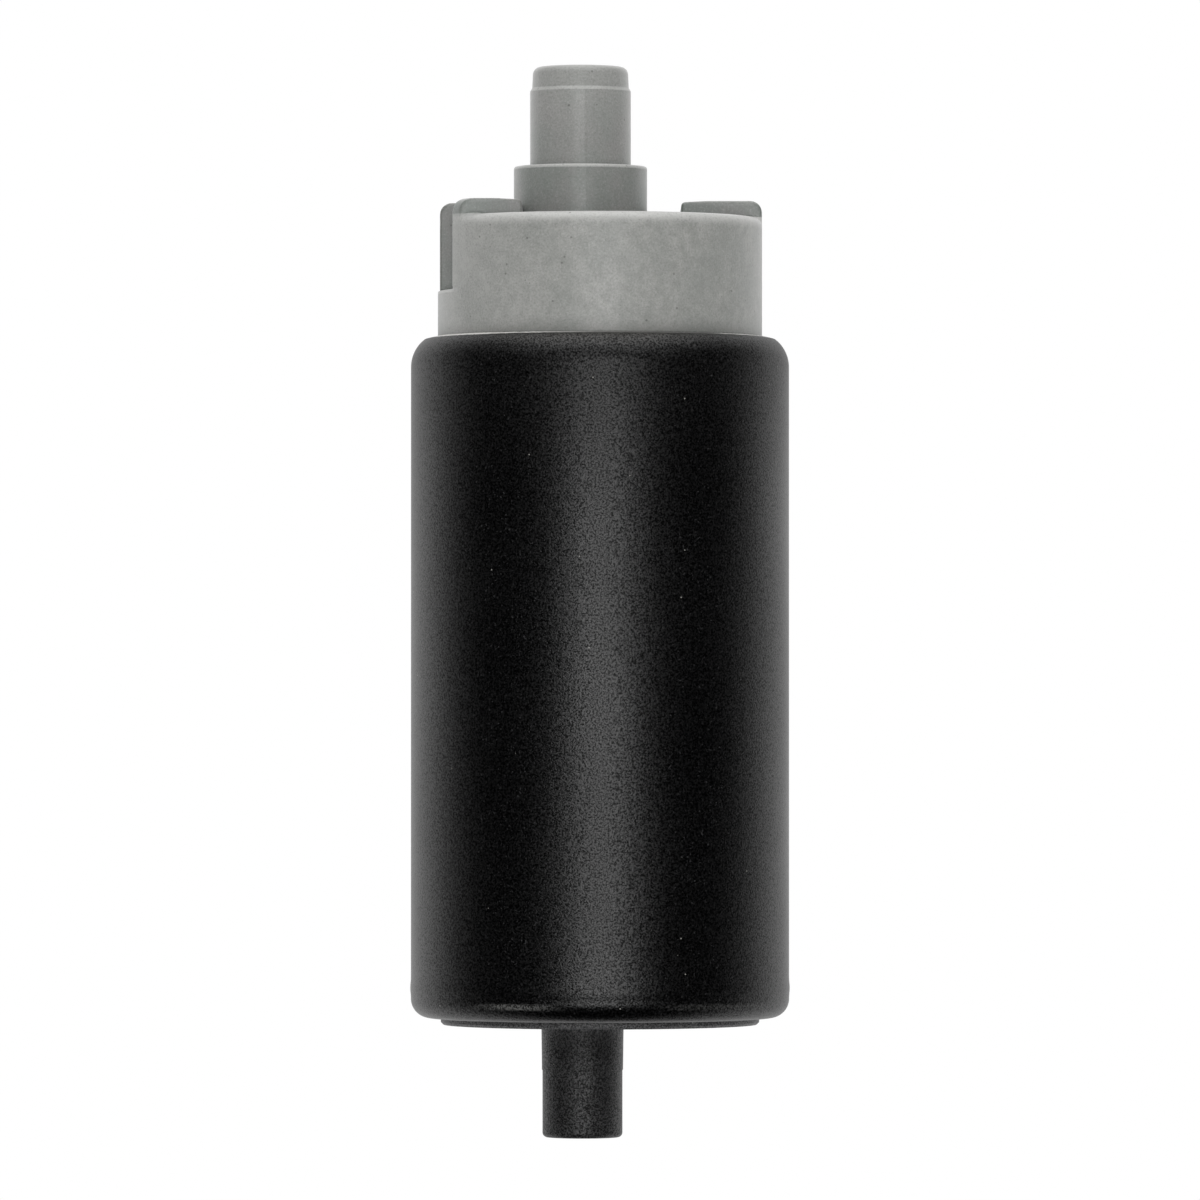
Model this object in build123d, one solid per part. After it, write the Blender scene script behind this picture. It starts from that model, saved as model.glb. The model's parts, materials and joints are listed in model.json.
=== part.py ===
from build123d import *
import math
import os

# An electric in-tank fuel pump: a black steel shell rolled over at both ends, a grey moulded
# end cap with the outlet nipple and two terminal pockets, and a black inlet cover with the
# stub that the strainer pushes onto. Inside are a side-channel pump stage, a two-pole motor
# with a face commutator, the brush gear, a check valve in the nipple and a relief valve.
# The frame: origin on the shell's axis at half its length, +Z towards the outlet, and -Y
# towards the viewer of the front. All sizes are in millimetres.

# Shell
shell_radius = 19.0
shell_length = 68.7
shell_wall = 1.4
shell_lip = 1.2
shoulder_rise = 2.8
shoulder_run = 1.4
lip_slope = 0.3
lip_round = 0.5
base_round = 1.9
base_slope = 0.25
base_flat = 1.2
mouth_chamfer = 1.0

# Clearances
seat_gap = 0.05
press_gap = 0.02
running_gap = 0.03
spin_gap = 0.3
slide_gap = 0.1

# Outlet nipple, on its own axis behind the shell's
nipple_x = -1.97
nipple_inset = 11.7
collar_radius = 6.73
collar_rise = 6.35
collar_edge = 0.25
nipple_radius = 5.09
nipple_length = 7.95
nipple_bevel = 0.5
tip_radius = 4.88
tip_taper = 0.1
tip_length = 2.3
tip_round = 0.8
nipple_bore = 3.3
bore_mouth = 0.4

# End cap
cap_inset = 2.7
cap_rise = 11.9
cap_wall = 1.8
deck_recess = 1.2
deck_thickness = 2.0
rim_wall = 1.6
rim_round = 0.9
spigot_height = 1.95
flange_height = 5.55
spigot_wall = 1.45

# Terminal pockets, open to the side through the cap's wall
pocket_floor_rise = 4.5
pocket_floor_thickness = 2.5
pocket_width = 8.9
pocket_wall = 1.5
pocket_inner_wall = 1.2
ear_rise = 1.7
ear_round = 1.2
left_pocket_depth = 8.5
left_pocket_front = -6.9
right_pocket_depth = 8.15
right_pocket_front = 0.75

# Terminal blades
blade_width = 4.8
blade_thickness = 0.8
blade_rise = 7.4
blade_tail = 3.2
blade_offset = 1.3
blade_hole = 1.4
blade_tip = 0.8

# Relief valve
relief_inset = 5.3
relief_boss = 3.2
relief_bore = 1.9
relief_port = 0.9
relief_seat_rise = 1.1
relief_ball_radius = 1.6
relief_retainer_height = 1.5
relief_retainer_hole = 0.7
relief_retainer_sink = 0.3
relief_wire = 0.3
relief_spring_turns = 5
relief_coil_share = 0.7

# Check valve
valve_port = 2.2
valve_seat_rise = 3.3
valve_head_height = 1.0
valve_head_gap = 0.4
valve_washer_height = 1.0
valve_spigot = 1.5
valve_catch = 0.25
valve_catch_height = 0.6
valve_stem = 0.8
valve_stem_overrun = 1.5
valve_lift = 2.0
valve_spring_closed = 3.1
guide_height = 1.5
guide_hub = 1.7
guide_ring = 0.6
guide_spoke = 0.9
guide_spokes = 3
valve_wire = 0.4
valve_coil_radius = 1.6
valve_spring_turns = 5

# Inlet cover and stub
cover_inset = 3.0
cover_gap = 0.1
cover_proud = 0.45
cover_edge = 0.25
cover_height = 5.4
stub_x = -1.78
stub_inset = 5.6
stub_radius = 4.06
stub_step = 0.06
stub_root_draft = 0.06
stub_root_length = 5.0
stub_length = 11.8
stub_bore = 2.6
stub_end_round = 0.5
stub_root_round = 0.3
thrust_radius = 2.5
thrust_height = 1.5

# Pump stage
ring_wall = 2.4
impeller_height = 3.7
impeller_side_gap = 0.05
impeller_rim_gap = 0.15
vane_count = 36
vane_length = 3.0
vane_depth = 1.35
vane_thickness = 0.8
channel_rim = 0.4
channel_width = 3.0
channel_depth = 1.3
channel_angle = 300.0
housing_height = 5.4
housing_boss_radius = 6.0
housing_boss_height = 2.5
outlet_port_radius = 1.4

# Seals
cover_seal_section = 1.6
cover_seal_lift = 1.2

# Shaft and bearings
shaft_radius = 2.0
shaft_flat = 1.5
shaft_end_gap = 0.1
lower_bearing_radius = 4.0
lower_bearing_length = 6.0
upper_bearing_radius = 3.2
upper_bearing_length = 5.5
washer_height = 0.5
washer_radius = 3.4
shaft_overrun = 0.6

# Armature
slot_count = 8
core_wall = 4.4
tooth_width = 3.1
tooth_lip = 1.4
slot_mouth = 1.6
slot_liner = 0.25
insulator_height = 0.5
sleeve_radius = 3.2
head_height = 3.8
head_inset = 0.9
head_bore_wall = 3.0
head_round = 1.4
head_notch = 0.8
segment_height = 2.0
segment_bore_wall = 2.6
segment_inset = 2.4
segment_slit = 0.5
hub_height = 2.0
hub_clearance = 0.6
commutator_gap = 1.2

# Field
air_gap = 0.5
magnet_thickness = 2.6
magnet_angle = 140.0
magnet_overhang = 1.5
flux_wall = 1.75
clip_thickness = 0.5
clip_angle = 33.0
clip_leg = 1.5
clip_inset = 2.0

# Brush gear
holder_height = 3.0
holder_boss_wall = 1.2
holder_shelf = 0.6
brush_margin = 0.7
brush_tangential = 5.6
brush_length = 8.1
brush_gap = 0.05
brush_retract = 1.5
guide_wall = 0.8
lead_slot = 1.6
brush_coil_inset = 0.5
brush_wire = 0.35
brush_spring_turns = 6
tower_radius = 2.6
kidney_margin = 0.5
kidney_width = 2.4
kidney_angle = 36.0
lead_radius = 0.45
lead_bend = 0.6
lead_margin = 1.0
lead_straight = 1.6

# Suppression chokes
choke_margin = 0.36
choke_place = 54.5
choke_core_radius = 1.4
choke_length = 6.4
choke_wire = 0.6
choke_turns = 7

# Heights worked out from the sizes above, from the bottom of the shell up
shell_top = shell_length / 2
shell_bottom = -shell_length / 2
shell_bore = shell_radius - shell_wall
stack_radius = shell_bore - seat_gap
cap_radius = shell_radius - cap_inset
cover_radius = shell_radius - cover_inset
stub_y = cover_radius - stub_inset
nipple_y = cap_radius - nipple_inset
cover_seat = shell_bottom + shell_lip
cover_top = cover_seat + cover_height
ring_top = cover_top + impeller_height + 2 * impeller_side_gap
housing_top = ring_top + housing_height
boss_top = housing_top + housing_boss_height
cover_face = shell_bottom - cover_proud
stub_end = cover_face - stub_length

# From the top of the shell down
cap_seat = shell_top - shell_lip
flange_bottom = cap_seat - flange_height
cap_bottom = flange_bottom - spigot_height
holder_bottom = cap_bottom - holder_height
commutator_face = holder_bottom - commutator_gap
hub_bottom = commutator_face - segment_height - hub_height
stack_top = hub_bottom - hub_clearance - head_height - insulator_height
washer_bottom = boss_top + slide_gap
stack_bottom = washer_bottom + washer_height + head_height + insulator_height + hub_clearance
magnet_bottom = stack_bottom - magnet_overhang
magnet_top = stack_top + magnet_overhang

# The cap above the shell
rim_top = shell_top + cap_rise
deck_top = rim_top - deck_recess
deck_bottom = deck_top - deck_thickness
pocket_floor = shell_top + pocket_floor_rise
column_bottom = pocket_floor - pocket_floor_thickness
ear_top = rim_top + ear_rise
collar_top = deck_top + collar_rise
nipple_shoulder = collar_top + nipple_length
nipple_top = nipple_shoulder + tip_length
cavity_radius = cap_radius - cap_wall
spigot_radius = cavity_radius + spigot_wall

# Radii worked out from the shell inwards
relief_y = relief_inset - cavity_radius
flux_outer = shell_bore - 2 * seat_gap
flux_inner = flux_outer - flux_wall
magnet_outer = flux_inner - seat_gap
magnet_inner = magnet_outer - magnet_thickness
armature_radius = magnet_inner - air_gap
slot_outer = armature_radius - tooth_lip
slot_inner = shaft_radius + core_wall
slot_outer_width = 2 * math.pi * slot_outer / slot_count - tooth_width
slot_inner_width = 2 * math.pi * slot_inner / slot_count - tooth_width
head_outer = armature_radius - head_inset
head_inner = shaft_radius + head_bore_wall
segment_outer = armature_radius - segment_inset
segment_inner = shaft_radius + segment_bore_wall
brush_radial = segment_outer - segment_inner - 2 * brush_margin
brush_centre = (segment_outer + segment_inner) / 2
brush_coil_radius = brush_radial / 2 - brush_coil_inset
kidney_outer = cavity_radius - kidney_margin
kidney_inner = kidney_outer - kidney_width
impeller_radius = stack_radius - ring_wall - impeller_rim_gap
channel_inner = impeller_radius - channel_rim - channel_width
channel_middle = channel_inner + channel_width / 2
inlet_angle = math.degrees(math.atan2(stub_y, stub_x))

# Valve seats are 45 degree cones, so a seat's height equals its change of radius
valve_seat = column_bottom + valve_seat_rise
valve_cone_tip = valve_seat - valve_port
valve_head = nipple_bore - valve_head_gap
washer_lift = seat_gap * math.sqrt(2)
valve_head_bottom = valve_cone_tip + valve_head + washer_lift
valve_washer_bottom = valve_head_bottom - valve_washer_height
valve_head_top = valve_head_bottom + valve_head_height
guide_bottom = valve_head_top + valve_spring_closed + valve_lift
stem_top = guide_bottom + guide_height + valve_stem_overrun
relief_seat = column_bottom + relief_seat_rise
relief_cone_tip = relief_seat - relief_port
relief_ball_z = relief_cone_tip + relief_ball_radius * math.sqrt(2) + press_gap
relief_retainer_top = deck_top - relief_retainer_sink
relief_retainer_bottom = relief_retainer_top - relief_retainer_height

# Brushes
brush_bottom = commutator_face + brush_gap
brush_top = brush_bottom + brush_length
guide_top = brush_top + brush_retract
upper_boss_radius = upper_bearing_radius + press_gap + holder_boss_wall
upper_bearing_top = holder_bottom + upper_bearing_length
upper_boss_top = upper_bearing_top + holder_shelf
upper_washer_bottom = holder_bottom - slide_gap - washer_height
shaft_bottom = cover_top + shaft_end_gap
shaft_top = upper_boss_top + shaft_overrun

choke_bottom = cap_bottom + seat_gap
choke_top = choke_bottom + choke_length
choke_coil_radius = choke_core_radius + choke_wire / 2 + seat_gap
choke_orbit = cavity_radius - choke_margin - choke_coil_radius - choke_wire / 2
choke_x = choke_orbit * math.cos(math.radians(choke_place))
choke_y = choke_orbit * math.sin(math.radians(choke_place))
blade_top = pocket_floor + blade_rise
blade_bottom = column_bottom - blade_tail
pocket_front = {-1: left_pocket_front, 1: right_pocket_front}
pocket_reach = {-1: cap_radius - left_pocket_depth, 1: cap_radius - right_pocket_depth}

FRONT = -90.0
REAR = 90.0
LEFT = 180.0
RIGHT = 0.0
far = 2 * shell_radius


def rod(radius, low, high, x=0.0, y=0.0):
    """A solid cylinder standing between two heights."""
    return Pos(x, y, (low + high) / 2) * Cylinder(radius, high - low)


def tube(outer, inner, low, high, x=0.0, y=0.0):
    """A plain ring between two heights."""
    over = 1.0
    return rod(outer, low, high, x, y) - rod(inner, low - over, high + over, x, y)


def block(x_span, y_span, z_span):
    """A box from its least and greatest coordinates."""
    spans = (x_span, y_span, z_span)
    middle = [(low + high) / 2 for low, high in spans]
    size = [high - low for low, high in spans]
    return Pos(*middle) * Box(*size)


def spun(*edges, x=0.0, y=0.0):
    """Turns an outline of radius and height about a vertical axis at x, y."""
    outline = Plane.XZ * make_face(Curve() + list(edges))
    return Pos(x, y, 0) * revolve(outline, Axis.Z)


def spun_points(points, x=0.0, y=0.0):
    """Turns a polygon of (radius, height) points about a vertical axis at x, y."""
    return spun(Polyline(*points, close=True), x=x, y=y)


def sector(inner, outer, low, high, span, middle):
    """Part of a ring, centred on the angle middle."""
    section = Pos((inner + outer) / 2, (low + high) / 2) * Rectangle(outer - inner, high - low)
    return Rot(0, 0, middle - span / 2) * revolve(Plane.XZ * section, Axis.Z, span)


def wedge(inner, outer, inner_half, outer_half):
    """A flat four-sided outline along +X, with half widths at its two ends."""
    corners = [(inner, -inner_half), (outer, -outer_half), (outer, outer_half), (inner, inner_half)]
    return make_face(Polyline(*corners, close=True))


def torus(centre_radius, section, z):
    """A round-section ring, such as an O-ring as it lies in its groove."""
    return Pos(0, 0, z) * Torus(centre_radius, section / 2)


def coil(radius, wire, low, high, turns, x=0.0, y=0.0):
    """An open helical coil whose wire lies between two heights."""
    rise = high - low - wire
    path = Helix(pitch=rise / turns, height=rise, radius=radius)
    section = Plane(origin=path @ 0, z_dir=path % 0) * Circle(wire / 2)
    return Pos(x, y, low + wire / 2) * sweep(section, path=path, is_frenet=True)


def wire_run(points, bend, radius):
    """A round wire along straight runs joined by arcs."""
    path = FilletPolyline(*points, radius=bend)
    section = Plane(origin=path @ 0, z_dir=path % 0) * Circle(radius)
    return sweep(section, path=path)


def around(piece, count):
    """Copies of a piece, evenly spaced about the shell's axis."""
    return [Rot(0, 0, index * 360 / count) * piece for index in range(count)]


def shell():
    """The steel tube, with its shoulder at the top and both lips rolled inwards."""
    top_opening = cap_radius + seat_gap
    base_opening = cover_radius + cover_gap
    shoulder_top = (shell_radius - shoulder_run, shell_top - lip_slope)
    shoulder_foot = (shell_radius, shell_top - lip_slope - shoulder_rise)
    base_foot = (base_opening + base_flat, shell_bottom + base_slope)
    base_shoulder = (shell_radius, shell_bottom + base_slope + base_round)
    outline = Plane.XZ * make_face(
        Curve()
        + [
            Line((base_opening, shell_bottom), base_foot),
            TangentArc(base_shoulder, base_foot, tangent=(0, -1)),
            Line(base_shoulder, shoulder_foot),
            TangentArc(shoulder_foot, shoulder_top, tangent=(0, 1)),
            Polyline(
                shoulder_top,
                (top_opening, shell_top),
                (top_opening, cap_seat),
                (shell_bore - mouth_chamfer, cap_seat),
                (shell_bore, cap_seat - mouth_chamfer),
                (shell_bore, cover_seat),
                (base_opening, cover_seat),
                (base_opening, shell_bottom),
            ),
        ]
    )
    solid = revolve(outline, Axis.Z)
    corner = Vector(shoulder_top[0], 0, shoulder_top[1])
    lip_edge = solid.edges().filter_by(GeomType.CIRCLE).sort_by_distance(corner)[0]
    return fillet(lip_edge, lip_round)


def inlet_cover():
    """The black cover at the foot, with its stub, and the pump channel on its inner face."""
    disc = spun_points(
        [
            (0, cover_face),
            (cover_radius - cover_edge, cover_face),
            (cover_radius, cover_face + cover_edge),
            (cover_radius, cover_seat),
            (stack_radius, cover_seat),
            (stack_radius, cover_top),
            (0, cover_top),
        ]
    )
    root_foot_radius = stub_radius + stub_step
    root_radius = root_foot_radius + stub_root_draft
    root_end = cover_face - stub_root_length
    stub = spun_points(
        [
            (0, stub_end),
            (stub_radius, stub_end),
            (stub_radius, root_end),
            (root_foot_radius, root_end + stub_step),
            (root_radius, cover_face - stub_root_round),
            (root_radius + stub_root_round, cover_face),
            (root_radius, cover_face + stub_root_round),
            (0, cover_face + stub_root_round),
        ],
        x=stub_x,
        y=stub_y,
    )
    end_edge = stub.edges().group_by(Axis.Z)[0]
    solid = disc + fillet(end_edge, stub_end_round)
    solid -= rod(stub_bore, stub_end - 1, cover_top + 1, stub_x, stub_y)
    solid -= side_channel(cover_top - channel_depth, cover_top)
    solid -= rod(thrust_radius + press_gap, cover_top - thrust_height, cover_top + 1)
    groove_bottom = cover_seat + cover_seal_lift
    groove_width = cover_seal_section + 2 * slide_gap
    groove_floor = shell_bore - cover_seal_section - press_gap
    return solid - tube(far, groove_floor, groove_bottom, groove_bottom + groove_width)


def side_channel(low, high):
    """The open ring that carries the fuel beside the vanes, from the inlet round to the outlet."""
    middle = inlet_angle + channel_angle / 2
    return sector(channel_inner, channel_inner + channel_width, low, high, channel_angle, middle)


def cover_seal():
    """The O-ring in the inlet cover's groove."""
    groove_middle = cover_seat + cover_seal_lift + cover_seal_section / 2 + slide_gap
    centre_radius = shell_bore - press_gap - cover_seal_section / 2
    return torus(centre_radius, cover_seal_section - 2 * press_gap, groove_middle)


def thrust_button():
    """The hard disc under the shaft's end."""
    return rod(thrust_radius, cover_top - thrust_height + press_gap, cover_top)


def channel_ring():
    """The ring around the impeller, between the two pump plates."""
    return tube(stack_radius, stack_radius - ring_wall, cover_top, ring_top)


def impeller():
    """The moulded wheel with vanes on both faces, keyed on the shaft's flat."""
    low = cover_top + impeller_side_gap
    high = low + impeller_height
    root = impeller_radius - vane_length
    pitch = 2 * math.pi * impeller_radius / vane_count
    pocket_half = (pitch - vane_thickness) / 2
    pocket_root_half = pocket_half * root / impeller_radius - vane_thickness / 4
    edge = impeller_radius + 1
    outline = wedge(root, edge, pocket_root_half, pocket_half)
    pocket = extrude(outline, vane_depth + 1)
    cuts = []
    for turned in around(pocket, vane_count):
        cuts.append(Pos(0, 0, low - 1) * turned)
        cuts.append(Pos(0, 0, high - vane_depth) * turned)
    bore = flatted_rod(shaft_radius + running_gap, shaft_flat + running_gap, low - 1, high + 1)
    return rod(impeller_radius, low, high) - cuts - bore


def flatted_rod(radius, flat, low, high):
    """A rod with one flat, which the impeller's hole repeats."""
    return rod(radius, low, high) - block((flat, far), (-far, far), (low, high))


def pump_housing():
    """The plate above the impeller, with the lower bearing's boss and the outlet port."""
    solid = rod(stack_radius, ring_top, housing_top)
    solid += rod(housing_boss_radius, housing_top - 1, boss_top)
    solid -= side_channel(ring_top - 1, ring_top + channel_depth)
    solid -= rod(shaft_radius + spin_gap, ring_top - 1, boss_top + 1)
    solid -= rod(lower_bearing_radius + press_gap, boss_top - lower_bearing_length, boss_top + 1)
    end_angle = math.radians(inlet_angle + channel_angle) - outlet_port_radius / channel_middle
    port_x = channel_middle * math.cos(end_angle)
    port_y = channel_middle * math.sin(end_angle)
    return solid - rod(outlet_port_radius, ring_top - 1, housing_top + 1, port_x, port_y)


def lower_bearing():
    """The sintered bush in the pump housing."""
    low = boss_top - lower_bearing_length + press_gap
    return tube(lower_bearing_radius, shaft_radius + running_gap, low, boss_top)


def flux_ring():
    """The steel ring that carries the magnets and holds the two end assemblies apart."""
    return tube(flux_outer, flux_inner, housing_top, holder_bottom)


def magnet(middle):
    """One ferrite arc."""
    return sector(magnet_inner, magnet_outer, magnet_bottom, magnet_top, magnet_angle, middle)


def magnet_clip(middle):
    """A sprung steel channel between the magnets, with a leg against each of them."""
    low = magnet_bottom + clip_inset
    high = magnet_top - clip_inset
    outer = magnet_outer - seat_gap
    back = sector(outer - clip_thickness, outer, low, high, clip_angle, middle)
    leg_span = math.degrees(clip_thickness / outer)
    for side in (-1, 1):
        leg_middle = middle + side * (clip_angle - leg_span) / 2
        back += sector(outer - clip_thickness - clip_leg, outer, low, high, leg_span, leg_middle)
    return back


def magnet_clips():
    """The clips in both gaps between the magnets."""
    return Compound([magnet_clip(middle).solid() for middle in (LEFT, RIGHT)])


def shaft():
    """The ground steel shaft, with a flat for the impeller at its foot."""
    foot = flatted_rod(shaft_radius, shaft_flat, shaft_bottom, ring_top)
    return foot + rod(shaft_radius, ring_top, shaft_top)


def slot_outline(liner=0.0):
    """One winding slot seen along the shaft, less a liner all round."""
    inner_half = slot_inner_width / 2 - liner
    outer_half = slot_outer_width / 2 - 1.5 * liner
    return wedge(slot_inner + liner, slot_outer - liner, inner_half, outer_half)


def slotted_disc(radius):
    """The lamination's outline: a disc with open slots and the shaft's hole."""
    mouth = wedge(slot_outer - 1, far, slot_mouth / 2, slot_mouth / 2)
    cuts = around(slot_outline(), slot_count) + around(mouth, slot_count)
    return Circle(radius) - cuts - Circle(shaft_radius + press_gap)


def lamination_stack():
    """The armature's iron, as one stack."""
    return Pos(0, 0, stack_bottom) * extrude(slotted_disc(armature_radius), stack_top - stack_bottom)


def slot_insulators():
    """The fibre end plates, each with a sleeve along the shaft."""
    plate = extrude(slotted_disc(armature_radius - spin_gap), insulator_height)
    plate_bottom = stack_bottom - insulator_height
    bore = shaft_radius + press_gap
    lower = Pos(0, 0, plate_bottom) * plate
    lower += tube(sleeve_radius, bore, washer_bottom + washer_height, plate_bottom)
    upper = Pos(0, 0, stack_top) * plate
    upper += tube(sleeve_radius, bore, stack_top + insulator_height, hub_bottom)
    return Compound([lower.solid(), upper.solid()])


def winding_head(low, high, round_up):
    """The coils' bulge beyond one end of the iron, rounded and notched on its free side."""
    middle = Pos((head_inner + head_outer) / 2, (low + high) / 2)
    section = middle * Rectangle(head_outer - head_inner, high - low)
    corners = section.vertices().group_by(Axis.Y)[-1 if round_up else 0]
    head = revolve(Plane.XZ * fillet(corners, head_round), Axis.Z)
    free = high if round_up else low
    notch = Pos(head_outer, 0, free) * Rot(0, 45, 0) * Box(2 * head_notch, head_notch, 2 * head_notch)
    return head - [Rot(0, 0, 180 / slot_count) * cut for cut in around(notch, slot_count)]


def windings():
    """The enamelled coils: a bar in each slot, joined by the heads at both ends."""
    reach = insulator_height
    bar = extrude(slot_outline(slot_liner), stack_top - stack_bottom + 2 * reach)
    bars = [Pos(0, 0, stack_bottom - reach) * turned for turned in around(bar, slot_count)]
    lower = winding_head(stack_bottom - reach - head_height, stack_bottom - reach, round_up=False)
    upper = winding_head(stack_top + reach, stack_top + reach + head_height, round_up=True)
    return lower + upper + bars


def commutator_hub():
    """The moulded hub under the segments, with a sleeve inside them."""
    bore = shaft_radius + press_gap
    base_top = hub_bottom + hub_height
    base = tube(segment_outer, bore, hub_bottom, base_top)
    return base + tube(segment_inner - seat_gap, bore, base_top, upper_washer_bottom)


def commutator_segments():
    """The face commutator's carbon segments, one to a coil."""
    low = commutator_face - segment_height
    slit = block((0, far), (-segment_slit / 2, segment_slit / 2), (low - 1, commutator_face + 1))
    return tube(segment_outer, segment_inner, low, commutator_face) - around(slit, slot_count)


def thrust_washers():
    """The washers between the armature and its two bearings."""
    washer = tube(washer_radius, shaft_radius + running_gap, 0, washer_height).solid()
    heights = (washer_bottom, upper_washer_bottom)
    return Compound([Pos(0, 0, height) * washer for height in heights])


def brush_guide(side):
    """The open-topped box that one brush slides in, and its slot for the lead."""
    half_radial = brush_radial / 2 + slide_gap
    half_tangential = brush_tangential / 2 + slide_gap
    centre = side * brush_centre
    outside = block(
        (centre - half_radial - guide_wall, centre + half_radial + guide_wall),
        (-half_tangential - guide_wall, half_tangential + guide_wall),
        (holder_bottom, guide_top),
    )
    inside = block(
        (centre - half_radial, centre + half_radial),
        (-half_tangential, half_tangential),
        (holder_bottom - 1, guide_top + 1),
    )
    slot_low = brush_top - 3 * lead_radius
    slot_ends = sorted((centre, side * (brush_centre + half_radial + guide_wall + 1)))
    slot = block(slot_ends, (-lead_slot / 2, lead_slot / 2), (slot_low, guide_top + 1))
    return outside, inside, slot


def brush_holder():
    """The moulded plate with the upper bearing's boss, two brush guides and the fuel openings."""
    solid = rod(stack_radius, holder_bottom, cap_bottom)
    solid += rod(upper_boss_radius, holder_bottom, upper_boss_top)
    cuts = [
        rod(shaft_radius + spin_gap, holder_bottom, upper_boss_top + 1),
        rod(upper_bearing_radius + press_gap, holder_bottom - 1, upper_bearing_top),
    ]
    for side in (-1, 1):
        outside, inside, slot = brush_guide(side)
        solid += outside
        cuts += [inside, slot]
    low = holder_bottom - 1
    for middle in (FRONT, RIGHT, REAR, LEFT):
        cuts.append(sector(kidney_inner, kidney_outer, low, cap_bottom + 1, kidney_angle, middle))
    return solid - cuts


def upper_bearing():
    """The sintered bush in the brush holder."""
    bore = shaft_radius + running_gap
    return tube(upper_bearing_radius, bore, holder_bottom, upper_bearing_top)


def brush(side):
    """One carbon brush, resting on the commutator's face."""
    centre = side * brush_centre
    half = brush_radial / 2
    return block(
        (centre - half, centre + half),
        (-brush_tangential / 2, brush_tangential / 2),
        (brush_bottom, brush_top),
    )


def brush_spring(side):
    """The spring between a brush and its seat under the cap."""
    low = brush_top + press_gap
    high = column_bottom - press_gap
    return coil(brush_coil_radius, brush_wire, low, high, brush_spring_turns, side * brush_centre)


def brush_lead(side):
    """The braid from a brush, out through its guide's slot, to the foot of its choke."""
    lead_z = brush_top - lead_radius - slide_gap
    foot_z = choke_bottom + lead_radius + slide_gap
    start_x = brush_centre + brush_radial / 2 + press_gap
    out_x = cavity_radius - lead_radius - lead_margin
    end_x = choke_x + choke_coil_radius + choke_wire / 2 + press_gap
    near_y = choke_y - lead_margin
    points = [
        (start_x, 0, lead_z),
        (out_x, 0, lead_z),
        (out_x, near_y / 2, foot_z),
        (end_x + lead_margin, near_y, foot_z),
        (end_x, choke_y, foot_z),
    ]
    turned = [(side * x, side * y, z) for x, y, z in points]
    return wire_run(turned, lead_bend, lead_radius)


def choke_core(side):
    """The ferrite rod of one choke, standing on the brush holder."""
    return rod(choke_core_radius, choke_bottom, choke_top, side * choke_x, side * choke_y)


def choke_coil(side):
    """The wire wound on one choke."""
    low = choke_bottom + choke_wire / 2
    high = choke_top - choke_wire / 2
    return coil(choke_coil_radius, choke_wire, low, high, choke_turns, side * choke_x, side * choke_y)


def pocket_walls(side):
    """One terminal pocket as a solid block, and the cut that hollows it and opens it to the side."""
    front = pocket_front[side]
    rear = front + pocket_width
    inner = pocket_reach[side] + pocket_inner_wall
    outer_block = block(
        sorted((side * pocket_reach[side], side * far)),
        (front - pocket_wall, rear + pocket_wall),
        (column_bottom, ear_top),
    )
    hollow = block(
        sorted((side * inner, side * far)),
        (front, rear),
        (pocket_floor, ear_top + 1),
    )
    return outer_block, hollow


def blade_place(side):
    """Where a terminal blade stands in its pocket."""
    x = pocket_reach[side] + pocket_inner_wall + blade_offset + blade_thickness / 2
    return side * x, pocket_front[side] + pocket_width / 2


def blade_block(side, gap, low, high):
    """A blade's cross-section with a gap all round, as a block between two heights."""
    x, y = blade_place(side)
    half_thickness = blade_thickness / 2 + gap
    half_width = blade_width / 2 + gap
    return block((x - half_thickness, x + half_thickness), (y - half_width, y + half_width), (low, high))


def rounded_disc(low, high, corner):
    """A disc of the cap's radius with a rounded upper edge."""
    side_end = (cap_radius, high - corner)
    top_end = (cap_radius - corner, high)
    return spun(
        Polyline((0, high), (0, low), (cap_radius, low), side_end),
        TangentArc(side_end, top_end, tangent=(0, 1)),
        Line(top_end, (0, high)),
    )


def nipple():
    """The collar and the stepped nipple, with the rounded tip, still without a bore."""
    tip_end = (tip_radius - tip_taper, nipple_top - tip_round)
    mouth = (tip_radius - tip_taper - tip_round, nipple_top)
    outline = [
        Polyline(
            (0, nipple_top),
            (0, column_bottom),
            (collar_radius, column_bottom),
            (collar_radius, collar_top - collar_edge),
            (collar_radius - collar_edge, collar_top),
            (nipple_radius, collar_top),
            (nipple_radius, nipple_shoulder - nipple_bevel),
            (tip_radius, nipple_shoulder),
            tip_end,
        ),
        TangentArc(tip_end, mouth, tangent=(0, 1)),
        Line(mouth, (0, nipple_top)),
    ]
    return spun(*outline, x=nipple_x, y=nipple_y)


def nipple_passage():
    """The port, the valve's seat and the bore through the nipple."""
    seat_top = valve_seat + nipple_bore - valve_port
    return spun_points(
        [
            (0, column_bottom - 1),
            (valve_port, column_bottom - 1),
            (valve_port, valve_seat),
            (nipple_bore, seat_top),
            (nipple_bore, nipple_top - bore_mouth),
            (nipple_bore + bore_mouth, nipple_top),
            (nipple_bore + bore_mouth, nipple_top + 1),
            (0, nipple_top + 1),
        ],
        x=nipple_x,
        y=nipple_y,
    )


def relief_passage():
    """The relief valve's port, seat and bore, open at the cap's deck."""
    seat_top = relief_seat + relief_bore - relief_port
    return spun_points(
        [
            (0, column_bottom - 1),
            (relief_port, column_bottom - 1),
            (relief_port, relief_seat),
            (relief_bore, seat_top),
            (relief_bore, deck_top + 1),
            (0, deck_top + 1),
        ],
        y=relief_y,
    )


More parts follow.
